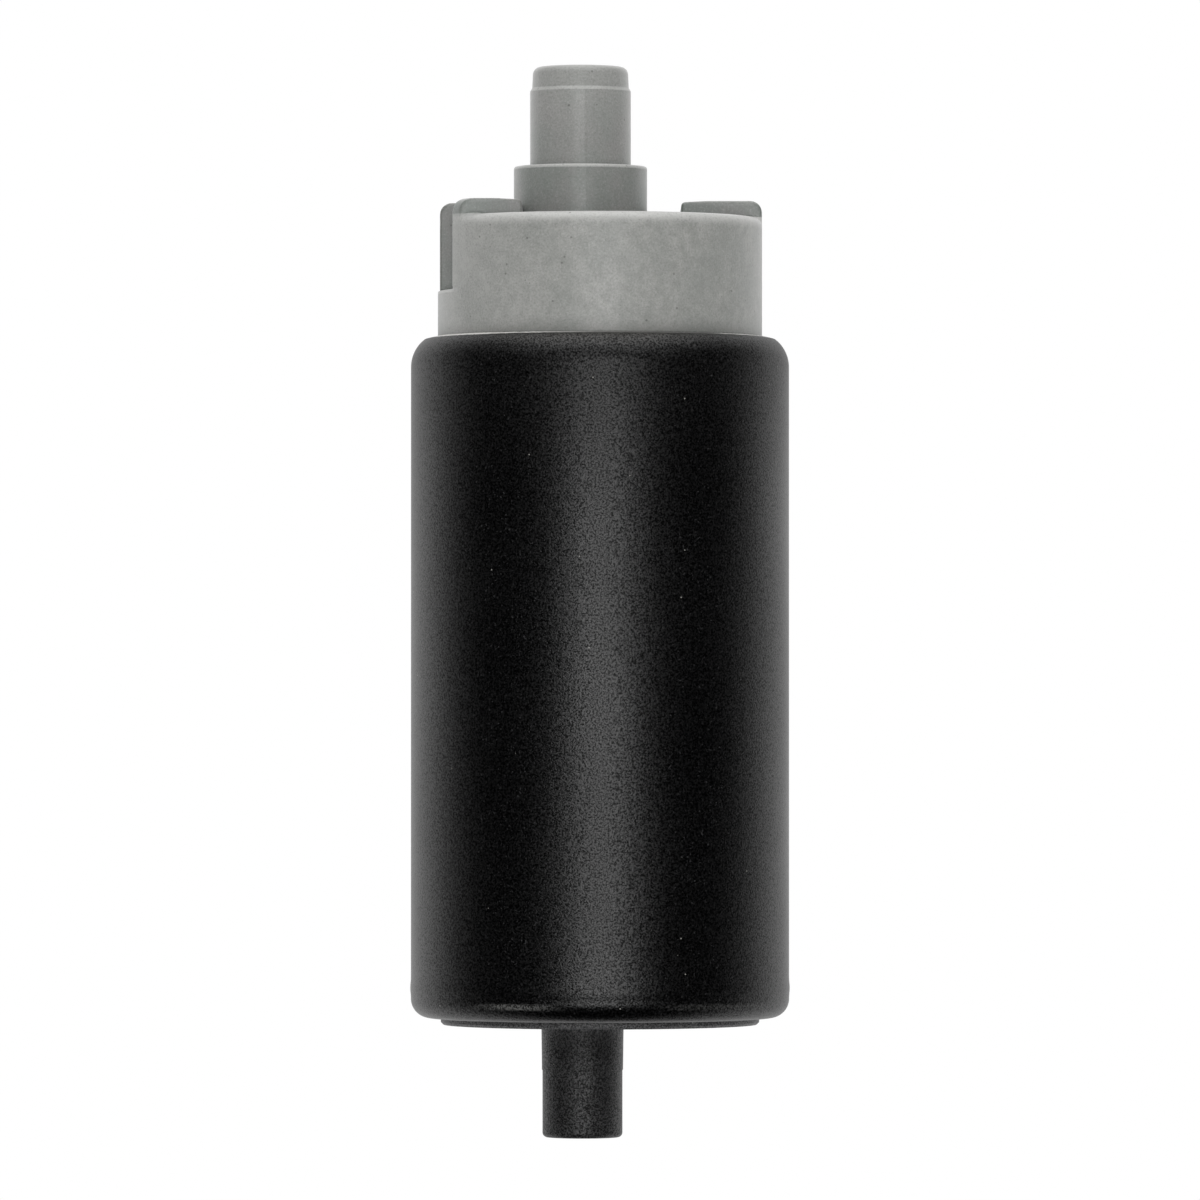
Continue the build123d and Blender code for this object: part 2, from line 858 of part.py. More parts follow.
def cap_cup():
    """The cap's turned form: spigot, flange, side wall, rim and deck."""
    rim_inner = cap_radius - rim_wall
    rim_foot = (cap_radius, rim_top - rim_round)
    rim_edge = (cap_radius - rim_round, rim_top)
    return spun(
        Polyline(
            rim_edge,
            (rim_inner, rim_top),
            (rim_inner, deck_top),
            (0, deck_top),
            (0, deck_bottom),
            (cavity_radius, deck_bottom),
            (cavity_radius, cap_bottom),
            (spigot_radius, cap_bottom),
            (spigot_radius, flange_bottom),
            (stack_radius, flange_bottom),
            (stack_radius, cap_seat - mouth_chamfer),
            (stack_radius - mouth_chamfer, cap_seat),
            (cap_radius, cap_seat),
            rim_foot,
        ),
        TangentArc(rim_foot, rim_edge, tangent=(0, 1)),
    )


def end_cap():
    """The grey moulding: the cup, the pockets, the collar and nipple, and the spring seats."""
    solid = cap_cup() + nipple() + rod(relief_boss, column_bottom, deck_top, 0, relief_y)
    cuts = [nipple_passage(), relief_passage()]
    ear_disc = rounded_disc(column_bottom, ear_top, ear_round)
    for side in (-1, 1):
        walls, hollow = pocket_walls(side)
        slot = blade_block(side, seat_gap, column_bottom - 1, pocket_floor + 1)
        tower_top = deck_top - deck_thickness / 2
        solid += walls & ear_disc
        solid += rod(tower_radius, column_bottom, tower_top, side * brush_centre)
        cuts += [hollow, slot]
    return solid - cuts


def cap_seal():
    """The O-ring around the cap's spigot, on top of the brush holder."""
    section = shell_bore - spigot_radius - 2 * press_gap
    return torus((shell_bore + spigot_radius) / 2, section, cap_bottom + section / 2 + press_gap)


def terminal(side):
    """One blade terminal, through the floor of its pocket, with a chamfered tip and a hole."""
    x, y = blade_place(side)
    blade = blade_block(side, 0, blade_bottom, blade_top)
    tip_edges = blade.faces().sort_by(Axis.Z)[-1].edges().filter_by(Axis.X)
    blade = chamfer(tip_edges, blade_tip)
    drill = Rot(0, 90, 0) * Cylinder(blade_hole / 2, 2 * blade_thickness)
    return blade - Pos(x, y, blade_top - blade_width / 2) * drill


def terminal_lead(side):
    """The stiff wire from a choke's head to the tail of its terminal."""
    blade_x, blade_y = blade_place(side)
    start_x = side * choke_x
    start_y = side * choke_y
    end_x = blade_x - side * (blade_thickness / 2 + press_gap)
    lead_z = blade_bottom + lead_margin
    points = [
        (start_x, start_y, choke_top + press_gap),
        (start_x, start_y, lead_z),
        (end_x - side * lead_straight, blade_y, lead_z),
        (end_x, blade_y, lead_z),
    ]
    return wire_run(points, lead_bend, lead_radius)


def check_valve_poppet():
    """The valve's head and stem, with a catch that holds the rubber washer."""
    catch = valve_spigot + valve_catch
    return spun_points(
        [
            (0, valve_washer_bottom - valve_catch_height),
            (catch - valve_catch, valve_washer_bottom - valve_catch_height),
            (catch, valve_washer_bottom - valve_catch_height / 2),
            (catch, valve_washer_bottom),
            (valve_spigot, valve_washer_bottom),
            (valve_spigot, valve_head_bottom),
            (valve_head, valve_head_bottom),
            (valve_head, valve_head_top),
            (valve_stem, valve_head_top),
            (valve_stem, stem_top),
            (0, stem_top),
        ],
        x=nipple_x,
        y=nipple_y,
    )


def check_valve_washer():
    """The rubber washer that closes on the seat's cone."""
    bore = valve_spigot + press_gap
    foot = valve_head - valve_washer_height
    return spun_points(
        [
            (bore, valve_washer_bottom + press_gap),
            (foot, valve_washer_bottom + press_gap),
            (valve_head - press_gap, valve_head_bottom),
            (bore, valve_head_bottom),
        ],
        x=nipple_x,
        y=nipple_y,
    )


def check_valve_guide():
    """The spoked ring in the nipple that guides the stem and seats the spring."""
    top = guide_bottom + guide_height
    outer = nipple_bore - press_gap
    ring = tube(outer, outer - guide_ring, guide_bottom, top)
    spoke = block((0, outer - guide_ring / 2), (-guide_spoke / 2, guide_spoke / 2), (guide_bottom, top))
    solid = ring + rod(guide_hub, guide_bottom, top) + around(spoke, guide_spokes)
    return Pos(nipple_x, nipple_y, 0) * (solid - rod(valve_stem + slide_gap, guide_bottom - 1, top + 1))


def check_valve_spring():
    """The light spring that closes the check valve."""
    low = valve_head_top + press_gap
    high = guide_bottom - press_gap
    return coil(valve_coil_radius, valve_wire, low, high, valve_spring_turns, nipple_x, nipple_y)


def relief_ball():
    """The steel ball on the relief valve's seat."""
    return Pos(0, relief_y, relief_ball_z) * Sphere(relief_ball_radius)


def relief_spring():
    """The stiff spring that bears on the ball's shoulder and holds it down."""
    radius = relief_coil_share * relief_ball_radius
    reach = relief_ball_radius + relief_wire / 2 + press_gap
    low = relief_ball_z + math.sqrt(reach**2 - radius**2) - relief_wire / 2
    high = relief_retainer_bottom - press_gap
    return coil(radius, relief_wire, low, high, relief_spring_turns, y=relief_y)


def relief_retainer():
    """The pressed-in ring above the relief spring."""
    outer = relief_bore - press_gap
    return tube(outer, relief_retainer_hole, relief_retainer_bottom, relief_retainer_top, y=relief_y)


nodes = {
    "shell": shell(),
    "inlet_cover": inlet_cover(),
    "inlet_seal": cover_seal(),
    "thrust_button": thrust_button(),
    "channel_ring": channel_ring(),
    "impeller": impeller(),
    "pump_housing": pump_housing(),
    "lower_bearing": lower_bearing(),
    "flux_ring": flux_ring(),
    "magnet_front": magnet(FRONT),
    "magnet_rear": magnet(REAR),
    "magnet_clips": magnet_clips(),
    "shaft": shaft(),
    "lamination_stack": lamination_stack(),
    "slot_insulators": slot_insulators(),
    "windings": windings(),
    "commutator_hub": commutator_hub(),
    "commutator_segments": commutator_segments(),
    "thrust_washers": thrust_washers(),
    "brush_holder": brush_holder(),
    "upper_bearing": upper_bearing(),
    "end_cap": end_cap(),
    "cap_seal": cap_seal(),
    "check_valve_poppet": check_valve_poppet(),
    "check_valve_washer": check_valve_washer(),
    "check_valve_guide": check_valve_guide(),
    "check_valve_spring": check_valve_spring(),
    "relief_ball": relief_ball(),
    "relief_spring": relief_spring(),
    "relief_retainer": relief_retainer(),
}
for name, side in (("left", -1), ("right", 1)):
    nodes[f"brush_{name}"] = brush(side)
    nodes[f"brush_spring_{name}"] = brush_spring(side)
    nodes[f"brush_lead_{name}"] = brush_lead(side)
    nodes[f"choke_core_{name}"] = choke_core(side)
    nodes[f"choke_coil_{name}"] = choke_coil(side)
    nodes[f"terminal_{name}"] = terminal(side)
    nodes[f"terminal_lead_{name}"] = terminal_lead(side)

os.makedirs("parts", exist_ok=True)
for name, piece in nodes.items():
    export_step(piece, f"parts/{name}.step")
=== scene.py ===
import json
import math

import bmesh
import bpy
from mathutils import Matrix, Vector

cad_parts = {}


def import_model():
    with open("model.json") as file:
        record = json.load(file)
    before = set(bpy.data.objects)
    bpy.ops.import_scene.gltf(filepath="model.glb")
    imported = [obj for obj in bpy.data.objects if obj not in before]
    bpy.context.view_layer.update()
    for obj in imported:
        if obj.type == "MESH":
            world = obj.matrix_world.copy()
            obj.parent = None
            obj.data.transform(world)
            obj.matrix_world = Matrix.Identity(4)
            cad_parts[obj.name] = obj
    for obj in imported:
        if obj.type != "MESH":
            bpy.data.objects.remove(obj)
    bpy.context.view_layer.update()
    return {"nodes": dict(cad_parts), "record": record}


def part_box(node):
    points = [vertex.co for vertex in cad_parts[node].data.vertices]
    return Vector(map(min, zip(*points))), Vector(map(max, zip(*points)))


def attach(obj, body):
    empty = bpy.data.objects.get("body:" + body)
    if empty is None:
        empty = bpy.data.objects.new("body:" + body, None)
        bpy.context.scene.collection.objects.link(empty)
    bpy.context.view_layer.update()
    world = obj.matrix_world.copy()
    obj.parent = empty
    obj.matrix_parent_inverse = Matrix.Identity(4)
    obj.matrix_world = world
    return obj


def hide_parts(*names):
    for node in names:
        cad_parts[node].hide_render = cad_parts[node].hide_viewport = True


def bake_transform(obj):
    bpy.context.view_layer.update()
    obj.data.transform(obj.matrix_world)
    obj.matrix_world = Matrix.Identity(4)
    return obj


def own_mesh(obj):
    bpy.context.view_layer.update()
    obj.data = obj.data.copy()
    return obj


# The looks of an electric in-tank fuel pump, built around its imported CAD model. Lengths below are in
# millimetres in the frame's own axes, heights are from the middle of the shell, angles are in degrees,
# and colours are in linear light.
MM = 0.001

# Mesh fineness and edges. overcut and hair keep the faces of cutting pieces off those they cut.
round_steps = 6
shell_steps = 14
cap_steps = 8
fine_segments = 256
cap_segments = 160
hole_segments = 96
rod_segments = 64
smooth_factor = 0.5
bevel_segments = 2
bevel_angle = 40.0
overcut = 1.0
hair = 0.01

# Camera and studio
camera_distance = 1000.0
clip_near = 10.0
clip_far = 50000.0
camera_height = -1.205
aim_height = 7.84
frame_width = 120.636
sensor_width = 36.0
floor_height = -58.0
floor_reach = 4000.0
floor_depth = 10.0
floor_shadow = (60.0, 120.0)
floor_shadow_share = 0.8
floor_grey = (0.86, 0.86, 0.86)
white = (1.0, 1.0, 1.0)
softbox_place = (12.0, -600.0, 2.0)
softbox_size = (310.0, 250.0)
softbox_power = 1.12
top_place = (0.0, -220.0, 720.0)
top_size = (900.0, 900.0)
top_power = 4.1
sky_light = 0.54
back_light = 0.92
back_direction = (0.94, 0.34)
back_narrowing = 0.8
back_fade = 0.6

# Shell
shell_radius = 19.0
shell_top = 34.35
shell_bore = 17.6
shell_lip = 1.2
top_opening = 16.35
base_opening = 16.1
shoulder_run = 1.4
shoulder_rise = 2.8
lip_slope = 0.3
lip_round = 0.45
edge_round = 0.1
shoulder_drop = 8.0
shoulder_trim = 3
base_flat = 1.2
base_slope = 0.25
base_round = 1.9
bulge = 0.065
bulge_height = -31.67
bulge_reach = 1.1
bulge_steps = 6

# End cap, with the left side's values under -1 and the right side's under 1
cap_radius = 16.3
cap_seat = 33.15
rim_top = 46.25
rim_inner = 14.7
rim_round = 0.9
deck_top = 45.05
deck_bottom = 43.05
cavity_radius = 14.5
spigot_radius = 15.95
stack_radius = 17.55
cap_bottom = 25.65
flange_bottom = 27.6
mouth_chamfer = 1.0
column_bottom = 36.35
ear_top = {-1: 47.87, 1: 47.95}
ear_round = 1.2
ear_corner = 0.4
pocket_floor = 38.85
pocket_wall = 1.5
pocket_width = 8.9
pocket_inner_wall = 1.2
pocket_front = {-1: -6.9, 1: 0.75}
pocket_reach = {-1: 7.8, 1: 8.15}
ear_slope_run = 2.6
ear_slope_drop = 0.13
tower_radius = 2.6
brush_centre = 7.4
relief_y = -9.2
relief_boss = 3.2
relief_bore = 1.9
relief_port = 0.9
relief_seat = 37.45
moulded_grid = 0.11
moulded_passes = 6
moulded_share = 0.3
moulded_inset = 0.3
blade_gap = 0.05
blade_edge = 0.07

# Nipple
nipple_x = -1.97
nipple_y = 4.6
collar_radius = 6.73
collar_top = 51.65
nipple_radius = 5.09
nipple_shoulder = 59.6
nipple_bevel = 0.35
collar_edge = 0.28
collar_foot = 0.18
shoulder_edge = 0.2
tip_foot = 0.12
tip_radius = 4.88
tip_taper = 0.1
nipple_top = 61.73
tip_round = 0.8
nipple_bore = 3.3
bore_mouth = 0.4
valve_port = 2.2
valve_seat = 39.65
seam_angles = (-85.5, 94.5)
seam_height = 0.035
seam_width = 0.2

# Springs, as (joint, wire, turns), and the leads with the brushes they belong to
springs = {
    "brush_spring_left": ("brush_left_slide", 0.35, 6),
    "brush_spring_right": ("brush_right_slide", 0.35, 6),
    "check_valve_spring": ("outlet_check_valve_lift", 0.4, 5),
    "relief_spring": ("relief_valve_lift", 0.3, 5),
}
closed_turns = 0.75
closed_pitch = 1.03
turn_steps = 36
wire_sides = 12
lead_bodies = {"brush_lead_left": "brush_left", "brush_lead_right": "brush_right"}

# Sharp edges are kept above these angles
shell_edge_angle = 40.0
nipple_edge_angle = 50.0
spring_edge_angle = 40.0

# Colours of the shell's coat
coat_black = (0.0, 0.0, 0.0001)
coat_haze = (0.0008, 0.0009, 0.0013)
# The glint colour is painted glint: bright grains in the colour that stand in for the coat's sparkle
coat_glint = (0.034, 0.034, 0.035)
# The shoulder film colour is a warm film that is also a painted highlight, kept to the front middle of the
# shoulder
coat_film_and_highlight = (0.024, 0.0215, 0.017)
# The streak colour is a painted highlight: the reflection on the bulge above the foot
coat_streak_highlight = (0.1, 0.1, 0.096)
coat_speck = (0.25, 0.245, 0.225)
bare_steel = (0.88, 0.87, 0.84)

# Marks on the coat: a warm film on the shoulder that is also a painted highlight, a painted highlight streak
# above the foot, and wear of the lip and foot, whose line on the lip's front left is also a painted
# highlight.
# A ramp has the places where it starts and is full, then its values there unless they are 0 and 1. A band
# has its two ends and its blur, then its peak unless that is 1.
film_and_highlight_height = (shell_top - 1.7, shell_top - 0.3)
film_and_highlight_band = (-3.0, 3.0, 11.0)
streak_height = (-32.7, -32.45, 0.3)
streak_left = (-9.0, -7.5, 4.5)
streak_right = (9.0, 14.0, 4.0, 0.3)
ragged_size = 0.4
ragged_depth = 0.5
worn_band = (top_opening + 0.3, top_opening + 0.65, 0.1)
worn_height = (cap_seat, cap_seat + 0.5)
worn_and_lit_left = (2.0, -11.0, 0.15, 1.0)
worn_and_lit_right = (9.5, 14.0, 0.0, 0.75)
worn_and_lit_front = (4.0, -7.0, 0.3, 1.0)
chipped_band = (top_opening + 0.15, top_opening + 0.85, 0.1)
chipped_and_lit_left = (-9.0, -12.0)
chipped_and_lit_front = (-3.0, -6.0)
foot_band = (base_opening + 0.75, base_opening + 0.55)
foot_height = (-30.0, -33.0)

# Roughness of the coat, what its grain and its height add, and how the bare metal looks
coat_roughness = (0.34, 0.37)
grain_roughness = (-0.04, 0.06)
top_roughness = (14.0, 34.0, 0.0, 0.06)
bare_roughness = 0.34
# The bare metal is kept mostly unmetallic so that the lip's line shows bright, a painted highlight as well as
# bare steel
bare_metallic = 0.2

# Tone of the grey moulding, given in the same way: paler towards the nipple's tip and towards the left, and a
# painted shade just above the shell; and the mask of its pockets
tip_paling = (52.0, 63.0, 0.15, 0.75)
left_paling = (-3.0, -13.0, 0.0, 0.5)
joint_shade_height = (shell_top + 1.6, shell_top - 0.4, 0.0, 0.38)
pocket_margin = 0.05
pocket_blur = 0.02
above_pocket_floor = (pocket_floor - 0.06, pocket_floor - 0.02)

# Colours of the grey moulding
# The moulded greys of the deck, ears and pocket walls are darker than the wall's chalk, partly as painted
# shade of those recesses
moulded_dark = (0.158, 0.178, 0.163)
moulded_light = (0.192, 0.193, 0.184)
tube_dark = (0.212, 0.229, 0.214)
tube_light = (0.252, 0.25, 0.242)
tube_pale = (0.32, 0.32, 0.309)
chalk_dark = (0.25, 0.257, 0.242)
chalk_light = (0.325, 0.326, 0.312)
chalk_cloud = (0.238, 0.248, 0.234)
chalk_pale = (0.35, 0.352, 0.338)
# The pale edge colour is painted highlight where the top light catches the cap's and nipple's edges, and wear
# as well
lit_worn_edge = (0.47, 0.47, 0.456)
grain_dark = (0.11, 0.115, 0.105)
grain_light = (0.5, 0.5, 0.48)
dirt_speck = (0.04, 0.04, 0.037)
dirt_blotch = (0.07, 0.07, 0.065)
# The joint shade colour is a painted shade just above the shell, where the cap meets it
joint_shade_colour = (0.05, 0.05, 0.046)

# Colours of the inlet cover, and the ramp along the height to the rubbed ones
cover_dark = (0.007, 0.007, 0.0072)
cover_dark_rubbed = (0.03, 0.03, 0.0307)
cover_light = (0.04, 0.04, 0.041)
cover_light_flow = (0.06, 0.06, 0.061)
cover_light_rubbed = (0.105, 0.105, 0.1065)
cover_speck = (0.25, 0.25, 0.24)
cover_rubbed_height = (-shell_top - 3.0, -shell_top - 0.4)


def link(obj):
    """Puts a new object in the scene."""
    bpy.context.scene.collection.objects.link(obj)
    return obj


def mesh_piece(name, bm):
    """Turns a bmesh in millimetres into an object in metres."""
    bmesh.ops.recalc_face_normals(bm, faces=bm.faces)
    bmesh.ops.scale(bm, vec=(MM, MM, MM), verts=bm.verts)
    mesh = bpy.data.meshes.new(name)
    bm.to_mesh(mesh)
    bm.free()
    return link(bpy.data.objects.new(name, mesh))


def shade(piece, angle):
    """Smooth shading with sharp edges kept above an angle."""
    piece.data.shade_smooth()
    piece.data.set_sharp_from_angle(angle=math.radians(angle))
    return piece


def arc(centre, radius, start, end, steps):
    """Points along a circular arc between two angles."""
    points = []
    for step in range(steps + 1):
        turn = math.radians(start + (end - start) * step / steps)
        points.append((centre[0] + radius * math.cos(turn), centre[1] + radius * math.sin(turn)))
    return points


def rounded(corners, steps=round_steps):
    """A closed outline from (a, b, radius) corners, with an arc at each corner that has a radius."""
    points = []
    for index, (a, b, radius) in enumerate(corners):
        here = Vector((a, b))
        if radius == 0:
            points.append((a, b))
            continue
        before = (Vector(corners[index - 1][:2]) - here).normalized()
        after = (Vector(corners[(index + 1) % len(corners)][:2]) - here).normalized()
        half = before.angle(after) / 2
        start = here + before * radius / math.tan(half)
        end = here + after * radius / math.tan(half)
        middle = here + (before + after).normalized() * radius / math.sin(half)
        first = math.atan2(start.y - middle.y, start.x - middle.x)
        turn = math.atan2(end.y - middle.y, end.x - middle.x) - first
        turn = (turn + math.pi) % (2 * math.pi) - math.pi
        first_degrees = math.degrees(first)
        points += arc(middle, radius, first_degrees, first_degrees + math.degrees(turn), steps)
    return points


def lathe(name, outline, segments, x=0.0, y=0.0):
    """Turns a closed outline of (radius, height) points about a vertical axis at x, y."""
    bm = bmesh.new()
    rings = []
    for radius, height in outline:
        if radius == 0:
            rings.append([bm.verts.new((x, y, height))])
            continue
        ring = []
        for index in range(segments):
            turn = 2 * math.pi * index / segments
            ring.append(bm.verts.new((x + radius * math.cos(turn), y + radius * math.sin(turn), height)))
        rings.append(ring)
    for low, high in zip(rings, rings[1:] + rings[:1]):
        if len(low) == 1 and len(high) == 1:
            continue
        for index in range(segments):
            after = (index + 1) % segments
            corners = [low[index % len(low)], low[after % len(low)]]
            corners += [high[after % len(high)], high[index % len(high)]]
            distinct = list(dict.fromkeys(corners))
            bm.faces.new(distinct)
    return mesh_piece(name, bm)


def upright(a, b, level):
    """Places an outline flat, with its levels as heights."""
    return a, b, level


def prism(name, outline, low, high, place=upright):
    """Extrudes a closed outline between two levels. place maps (a, b, level) to x, y, z."""
    bm = bmesh.new()
    ends = []
    for level in (low, high):
        ends.append([bm.verts.new(place(a, b, level)) for a, b in outline])
    bm.faces.new(ends[0])
    bm.faces.new(ends[1])
    count = len(outline)
    for index in range(count):
        after = (index + 1) % count
        bm.faces.new([ends[0][index], ends[0][after], ends[1][after], ends[1][index]])
    return mesh_piece(name, bm)


def box_outline(a_span, b_span):
    """The four corners of a rectangle."""
    a_low, a_high = a_span
    b_low, b_high = b_span
    return [(a_low, b_low), (a_high, b_low), (a_high, b_high), (a_low, b_high)]


def bake(piece):
    """Replaces a new piece's mesh by what its modifiers make of it."""
    depsgraph = bpy.context.evaluated_depsgraph_get()
    made = bpy.data.meshes.new_from_object(piece.evaluated_get(depsgraph))
    piece.modifiers.clear()
    piece.data = made
    return piece


def combine(piece, other, operation):
    """Joins, cuts or intersects a new piece with another, which is used up."""
    modifier = piece.modifiers.new(operation, "BOOLEAN")
    modifier.operation = operation
    modifier.solver = "EXACT"
    modifier.object = other
    bake(piece)
    bpy.data.objects.remove(other)
    return piece


def mould(piece, grid, passes, share):
    """Gives a solid the soft edges of a moulding: an even fine mesh, smoothed, then thinned out."""
    fine = piece.modifiers.new("fine", "REMESH")
    fine.mode = "VOXEL"
    fine.voxel_size = grid * MM
    smooth = piece.modifiers.new("smooth", "SMOOTH")
    smooth.factor = smooth_factor
    smooth.iterations = passes
    fewer = piece.modifiers.new("fewer", "DECIMATE")
    fewer.ratio = share
    bake(piece)
    piece.data.shade_smooth()
    return piece


def soften(piece, width):
    """Rounds a piece's sharp edges."""
    modifier = piece.modifiers.new("soft_edges", "BEVEL")
    modifier.width = width * MM
    modifier.segments = bevel_segments
    modifier.limit_method = "ANGLE"
    modifier.angle_limit = math.radians(bevel_angle)
    modifier.use_clamp_overlap = False


def join(name, pieces):
    """Makes one object of several new pieces."""
    bm = bmesh.new()
    for piece in pieces:
        bm.from_mesh(piece.data)
        bpy.data.objects.remove(piece)
    mesh = bpy.data.meshes.new(name)
    bm.to_mesh(mesh)
    bm.free()
    return link(bpy.data.objects.new(name, mesh))


def raise_seams(piece, x, y, low, high, least_radius):
    """Pushes out the points near the mould's parting lines, on the outside of a turned piece."""
    for vertex in piece.data.vertices:
        across = Vector((vertex.co.x / MM - x, vertex.co.y / MM - y))
        height = vertex.co.z / MM
        if across.length < least_radius or not low <= height <= high:
            continue
        for angle in seam_angles:
            seam = Vector((math.cos(math.radians(angle)), math.sin(math.radians(angle))))
            along = (across.normalized() - seam).length * across.length
            lift = seam_height * math.exp(-((along / seam_width) ** 2))
            vertex.co.x += across.normalized().x * lift * MM
            vertex.co.y += across.normalized().y * lift * MM
    return piece


def roll(run, rise):
    """Radius and span of the arc that leaves an upright wall and moves in by a run over a rise."""
    radius = (run**2 + rise**2) / (2 * run)
    return radius, math.degrees(math.asin(rise / radius))


def shell_skin():
    """The rolled steel shell, with its shoulder, its lips and the slight bulge above the foot."""
    shoulder_radius, shoulder_span = roll(shoulder_run, shoulder_rise)
    shoulder_foot = shell_top - lip_slope - shoulder_rise
    base_radius, base_span = roll(shell_radius - base_opening - base_flat, base_round)
    base_shoulder = -shell_top + base_slope + base_round
    swell = []
    for step in range(-bulge_steps, bulge_steps + 1):
        offset = bulge_reach * step / bulge_steps
        rise = bulge * (1 + math.cos(math.pi * step / bulge_steps)) / 2
        swell.append((shell_radius + rise, bulge_height + bulge_reach / 2 + offset))
    swell = [point for point in swell if point[1] > base_shoulder]
    foot_lift = swell[0][0] - shell_radius
    foot_centre = (shell_radius - base_radius + foot_lift, base_shoulder)
    foot_arc = arc(foot_centre, base_radius, -base_span, 0, shell_steps)
    shoulder_centre = (shell_radius - shoulder_radius, shoulder_foot)
    shoulder_arc = arc(shoulder_centre, shoulder_radius, 0, shoulder_span, shell_steps)
    lip_soft = rounded(
        [
            (*shoulder_arc[-shoulder_trim], 0),
            (shell_radius - shoulder_run, shell_top - lip_slope, lip_round),
            (top_opening, shell_top, edge_round),
            (top_opening, cap_seat, 0),
            (shell_bore - mouth_chamfer, cap_seat, 0),
            (shell_bore, cap_seat - mouth_chamfer, 0),
            (shell_bore, -shell_top + shell_lip, 0),
            (base_opening, -shell_top + shell_lip, 0),
            (base_opening, -shell_top, edge_round),
        ]
    )
    wall = foot_arc + swell + [(shell_radius, shoulder_foot - shoulder_drop)]
    outline = wall + shoulder_arc[:-shoulder_trim] + lip_soft
    return shade(lathe("shell_skin", outline, fine_segments), shell_edge_angle)


def cap_cup():
    """The cap's turned form: spigot, flange, side wall, rounded rim and deck."""
    outline = rounded(
        [
            (cap_radius, rim_top, rim_round),
            (rim_inner, rim_top, 0),
            (rim_inner, deck_top, 0),
            (0, deck_top, 0),
            (0, deck_bottom, 0),
            (cavity_radius, deck_bottom, 0),
            (cavity_radius, cap_bottom, 0),
            (spigot_radius, cap_bottom, 0),
            (spigot_radius, flange_bottom, 0),
            (stack_radius, flange_bottom, 0),
            (stack_radius, cap_seat - mouth_chamfer, 0),
            (stack_radius - mouth_chamfer, cap_seat, 0),
            (cap_radius, cap_seat, 0),
        ],
        steps=cap_steps,
    )
    return lathe("cup", outline, cap_segments)


def pocket_block(side):
    """One terminal pocket's walls, with its ear's outline rounded like the cap."""
    reach = side * pocket_reach[side]
    end = side * 2 * cap_radius
    outline = rounded(
        [
            (reach, column_bottom, 0),
            (end, column_bottom, 0),
            (end, ear_top[side], 0),
            (reach + side * ear_slope_run, ear_top[side], 0),
            (reach, ear_top[side] - ear_slope_drop, ear_corner),
        ]
    )
    front = pocket_front[side] - pocket_wall
    rear = pocket_front[side] + pocket_width + pocket_wall
    block = prism("pocket", outline, front, rear, lambda a, b, level: (a, level, b))
    ear_outline = rounded(
        [
            (0, ear_top[side] + hair, 0),
            (0, column_bottom - hair, 0),
            (cap_radius - hair, column_bottom - hair, 0),
            (cap_radius - hair, ear_top[side] + hair, ear_round),
        ],
        steps=cap_steps,
    )
    return combine(block, lathe("ear_disc", ear_outline, cap_segments), "INTERSECT")


def pocket_hollow(side):
    """The cut that hollows one pocket and opens it to the side."""
    inner = side * (pocket_reach[side] + pocket_inner_wall)
    front = pocket_front[side]
    outline = box_outline((inner, side * 2 * cap_radius), (front, front + pocket_width))
    return prism("hollow", outline, pocket_floor, ear_top[side] + 2 * overcut)


def blade_slot(side):
    """The slot in the pocket's floor that the blade goes through."""
    low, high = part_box("terminal_left" if side < 0 else "terminal_right")
    x_span = (low[0] / MM - blade_gap, high[0] / MM + blade_gap)
    y_span = (low[1] / MM - blade_gap, high[1] / MM + blade_gap)
    return prism("slot", box_outline(x_span, y_span), column_bottom - overcut, pocket_floor + overcut)


def rod(name, radius, low, high, x, y, segments=rod_segments):
    """A short solid column, used up in joining and cutting."""
    return lathe(name, [(0, low), (radius, low), (radius, high), (0, high)], segments, x, y)


def relief_passage():
    """The relief valve's port, seat and bore, as a cut."""
    seat_top = relief_seat + relief_bore - relief_port
    outline = [
        (0, column_bottom - overcut),
        (relief_port, column_bottom - overcut),
        (relief_port, relief_seat),
        (relief_bore, seat_top),
        (relief_bore, deck_top + overcut),
        (0, deck_top + overcut),
    ]
    return lathe("relief_cut", outline, rod_segments, 0, relief_y)


def nipple_form():
    """The collar and the stepped nipple as one tube, with soft moulded edges and parting lines."""
    seat_top = valve_seat + nipple_bore - valve_port
    outline = rounded(
        [
            (valve_port, column_bottom, edge_round),
            (collar_radius, column_bottom, edge_round),
            (collar_radius, collar_top, collar_edge),
            (nipple_radius, collar_top, collar_foot),
            (nipple_radius, nipple_shoulder - nipple_bevel, shoulder_edge),
            (tip_radius, nipple_shoulder, tip_foot),
            (tip_radius - tip_taper, nipple_top, tip_round),
            (nipple_bore + bore_mouth, nipple_top, edge_round),
            (nipple_bore, nipple_top - bore_mouth, edge_round),
            (nipple_bore, seat_top, 0),
            (valve_port, valve_seat, 0),
        ]
    )
    piece = lathe("nipple", outline, fine_segments, nipple_x, nipple_y)
    seam_top = nipple_top - tip_round
    return raise_seams(piece, nipple_x, nipple_y, deck_top, seam_top, tip_radius - tip_taper)


def end_cap_moulding():
    """The grey moulding: cup, pockets, ears, spring seats, relief boss, collar and nipple."""
    body = cap_cup()
    column_top = deck_bottom + overcut
    for side in (-1, 1):
        tower = rod("tower", tower_radius, column_bottom, column_top, side * brush_centre, 0)
        combine(body, pocket_block(side), "UNION")
        combine(body, tower, "UNION")
    combine(body, rod("boss", relief_boss, column_bottom, column_top, 0, relief_y), "UNION")
    for side in (-1, 1):
        combine(body, pocket_hollow(side), "DIFFERENCE")
        combine(body, blade_slot(side), "DIFFERENCE")
    combine(body, relief_passage(), "DIFFERENCE")
    hole_radius = collar_radius - moulded_inset
    bottom, top = column_bottom - overcut, deck_top + overcut
    hole = rod("hole", hole_radius, bottom, top, nipple_x, nipple_y, hole_segments)
    combine(body, hole, "DIFFERENCE")
    mould(body, moulded_grid, moulded_passes, moulded_share)
    return join("end_cap_moulding", [body, shade(nipple_form(), nipple_edge_angle)])


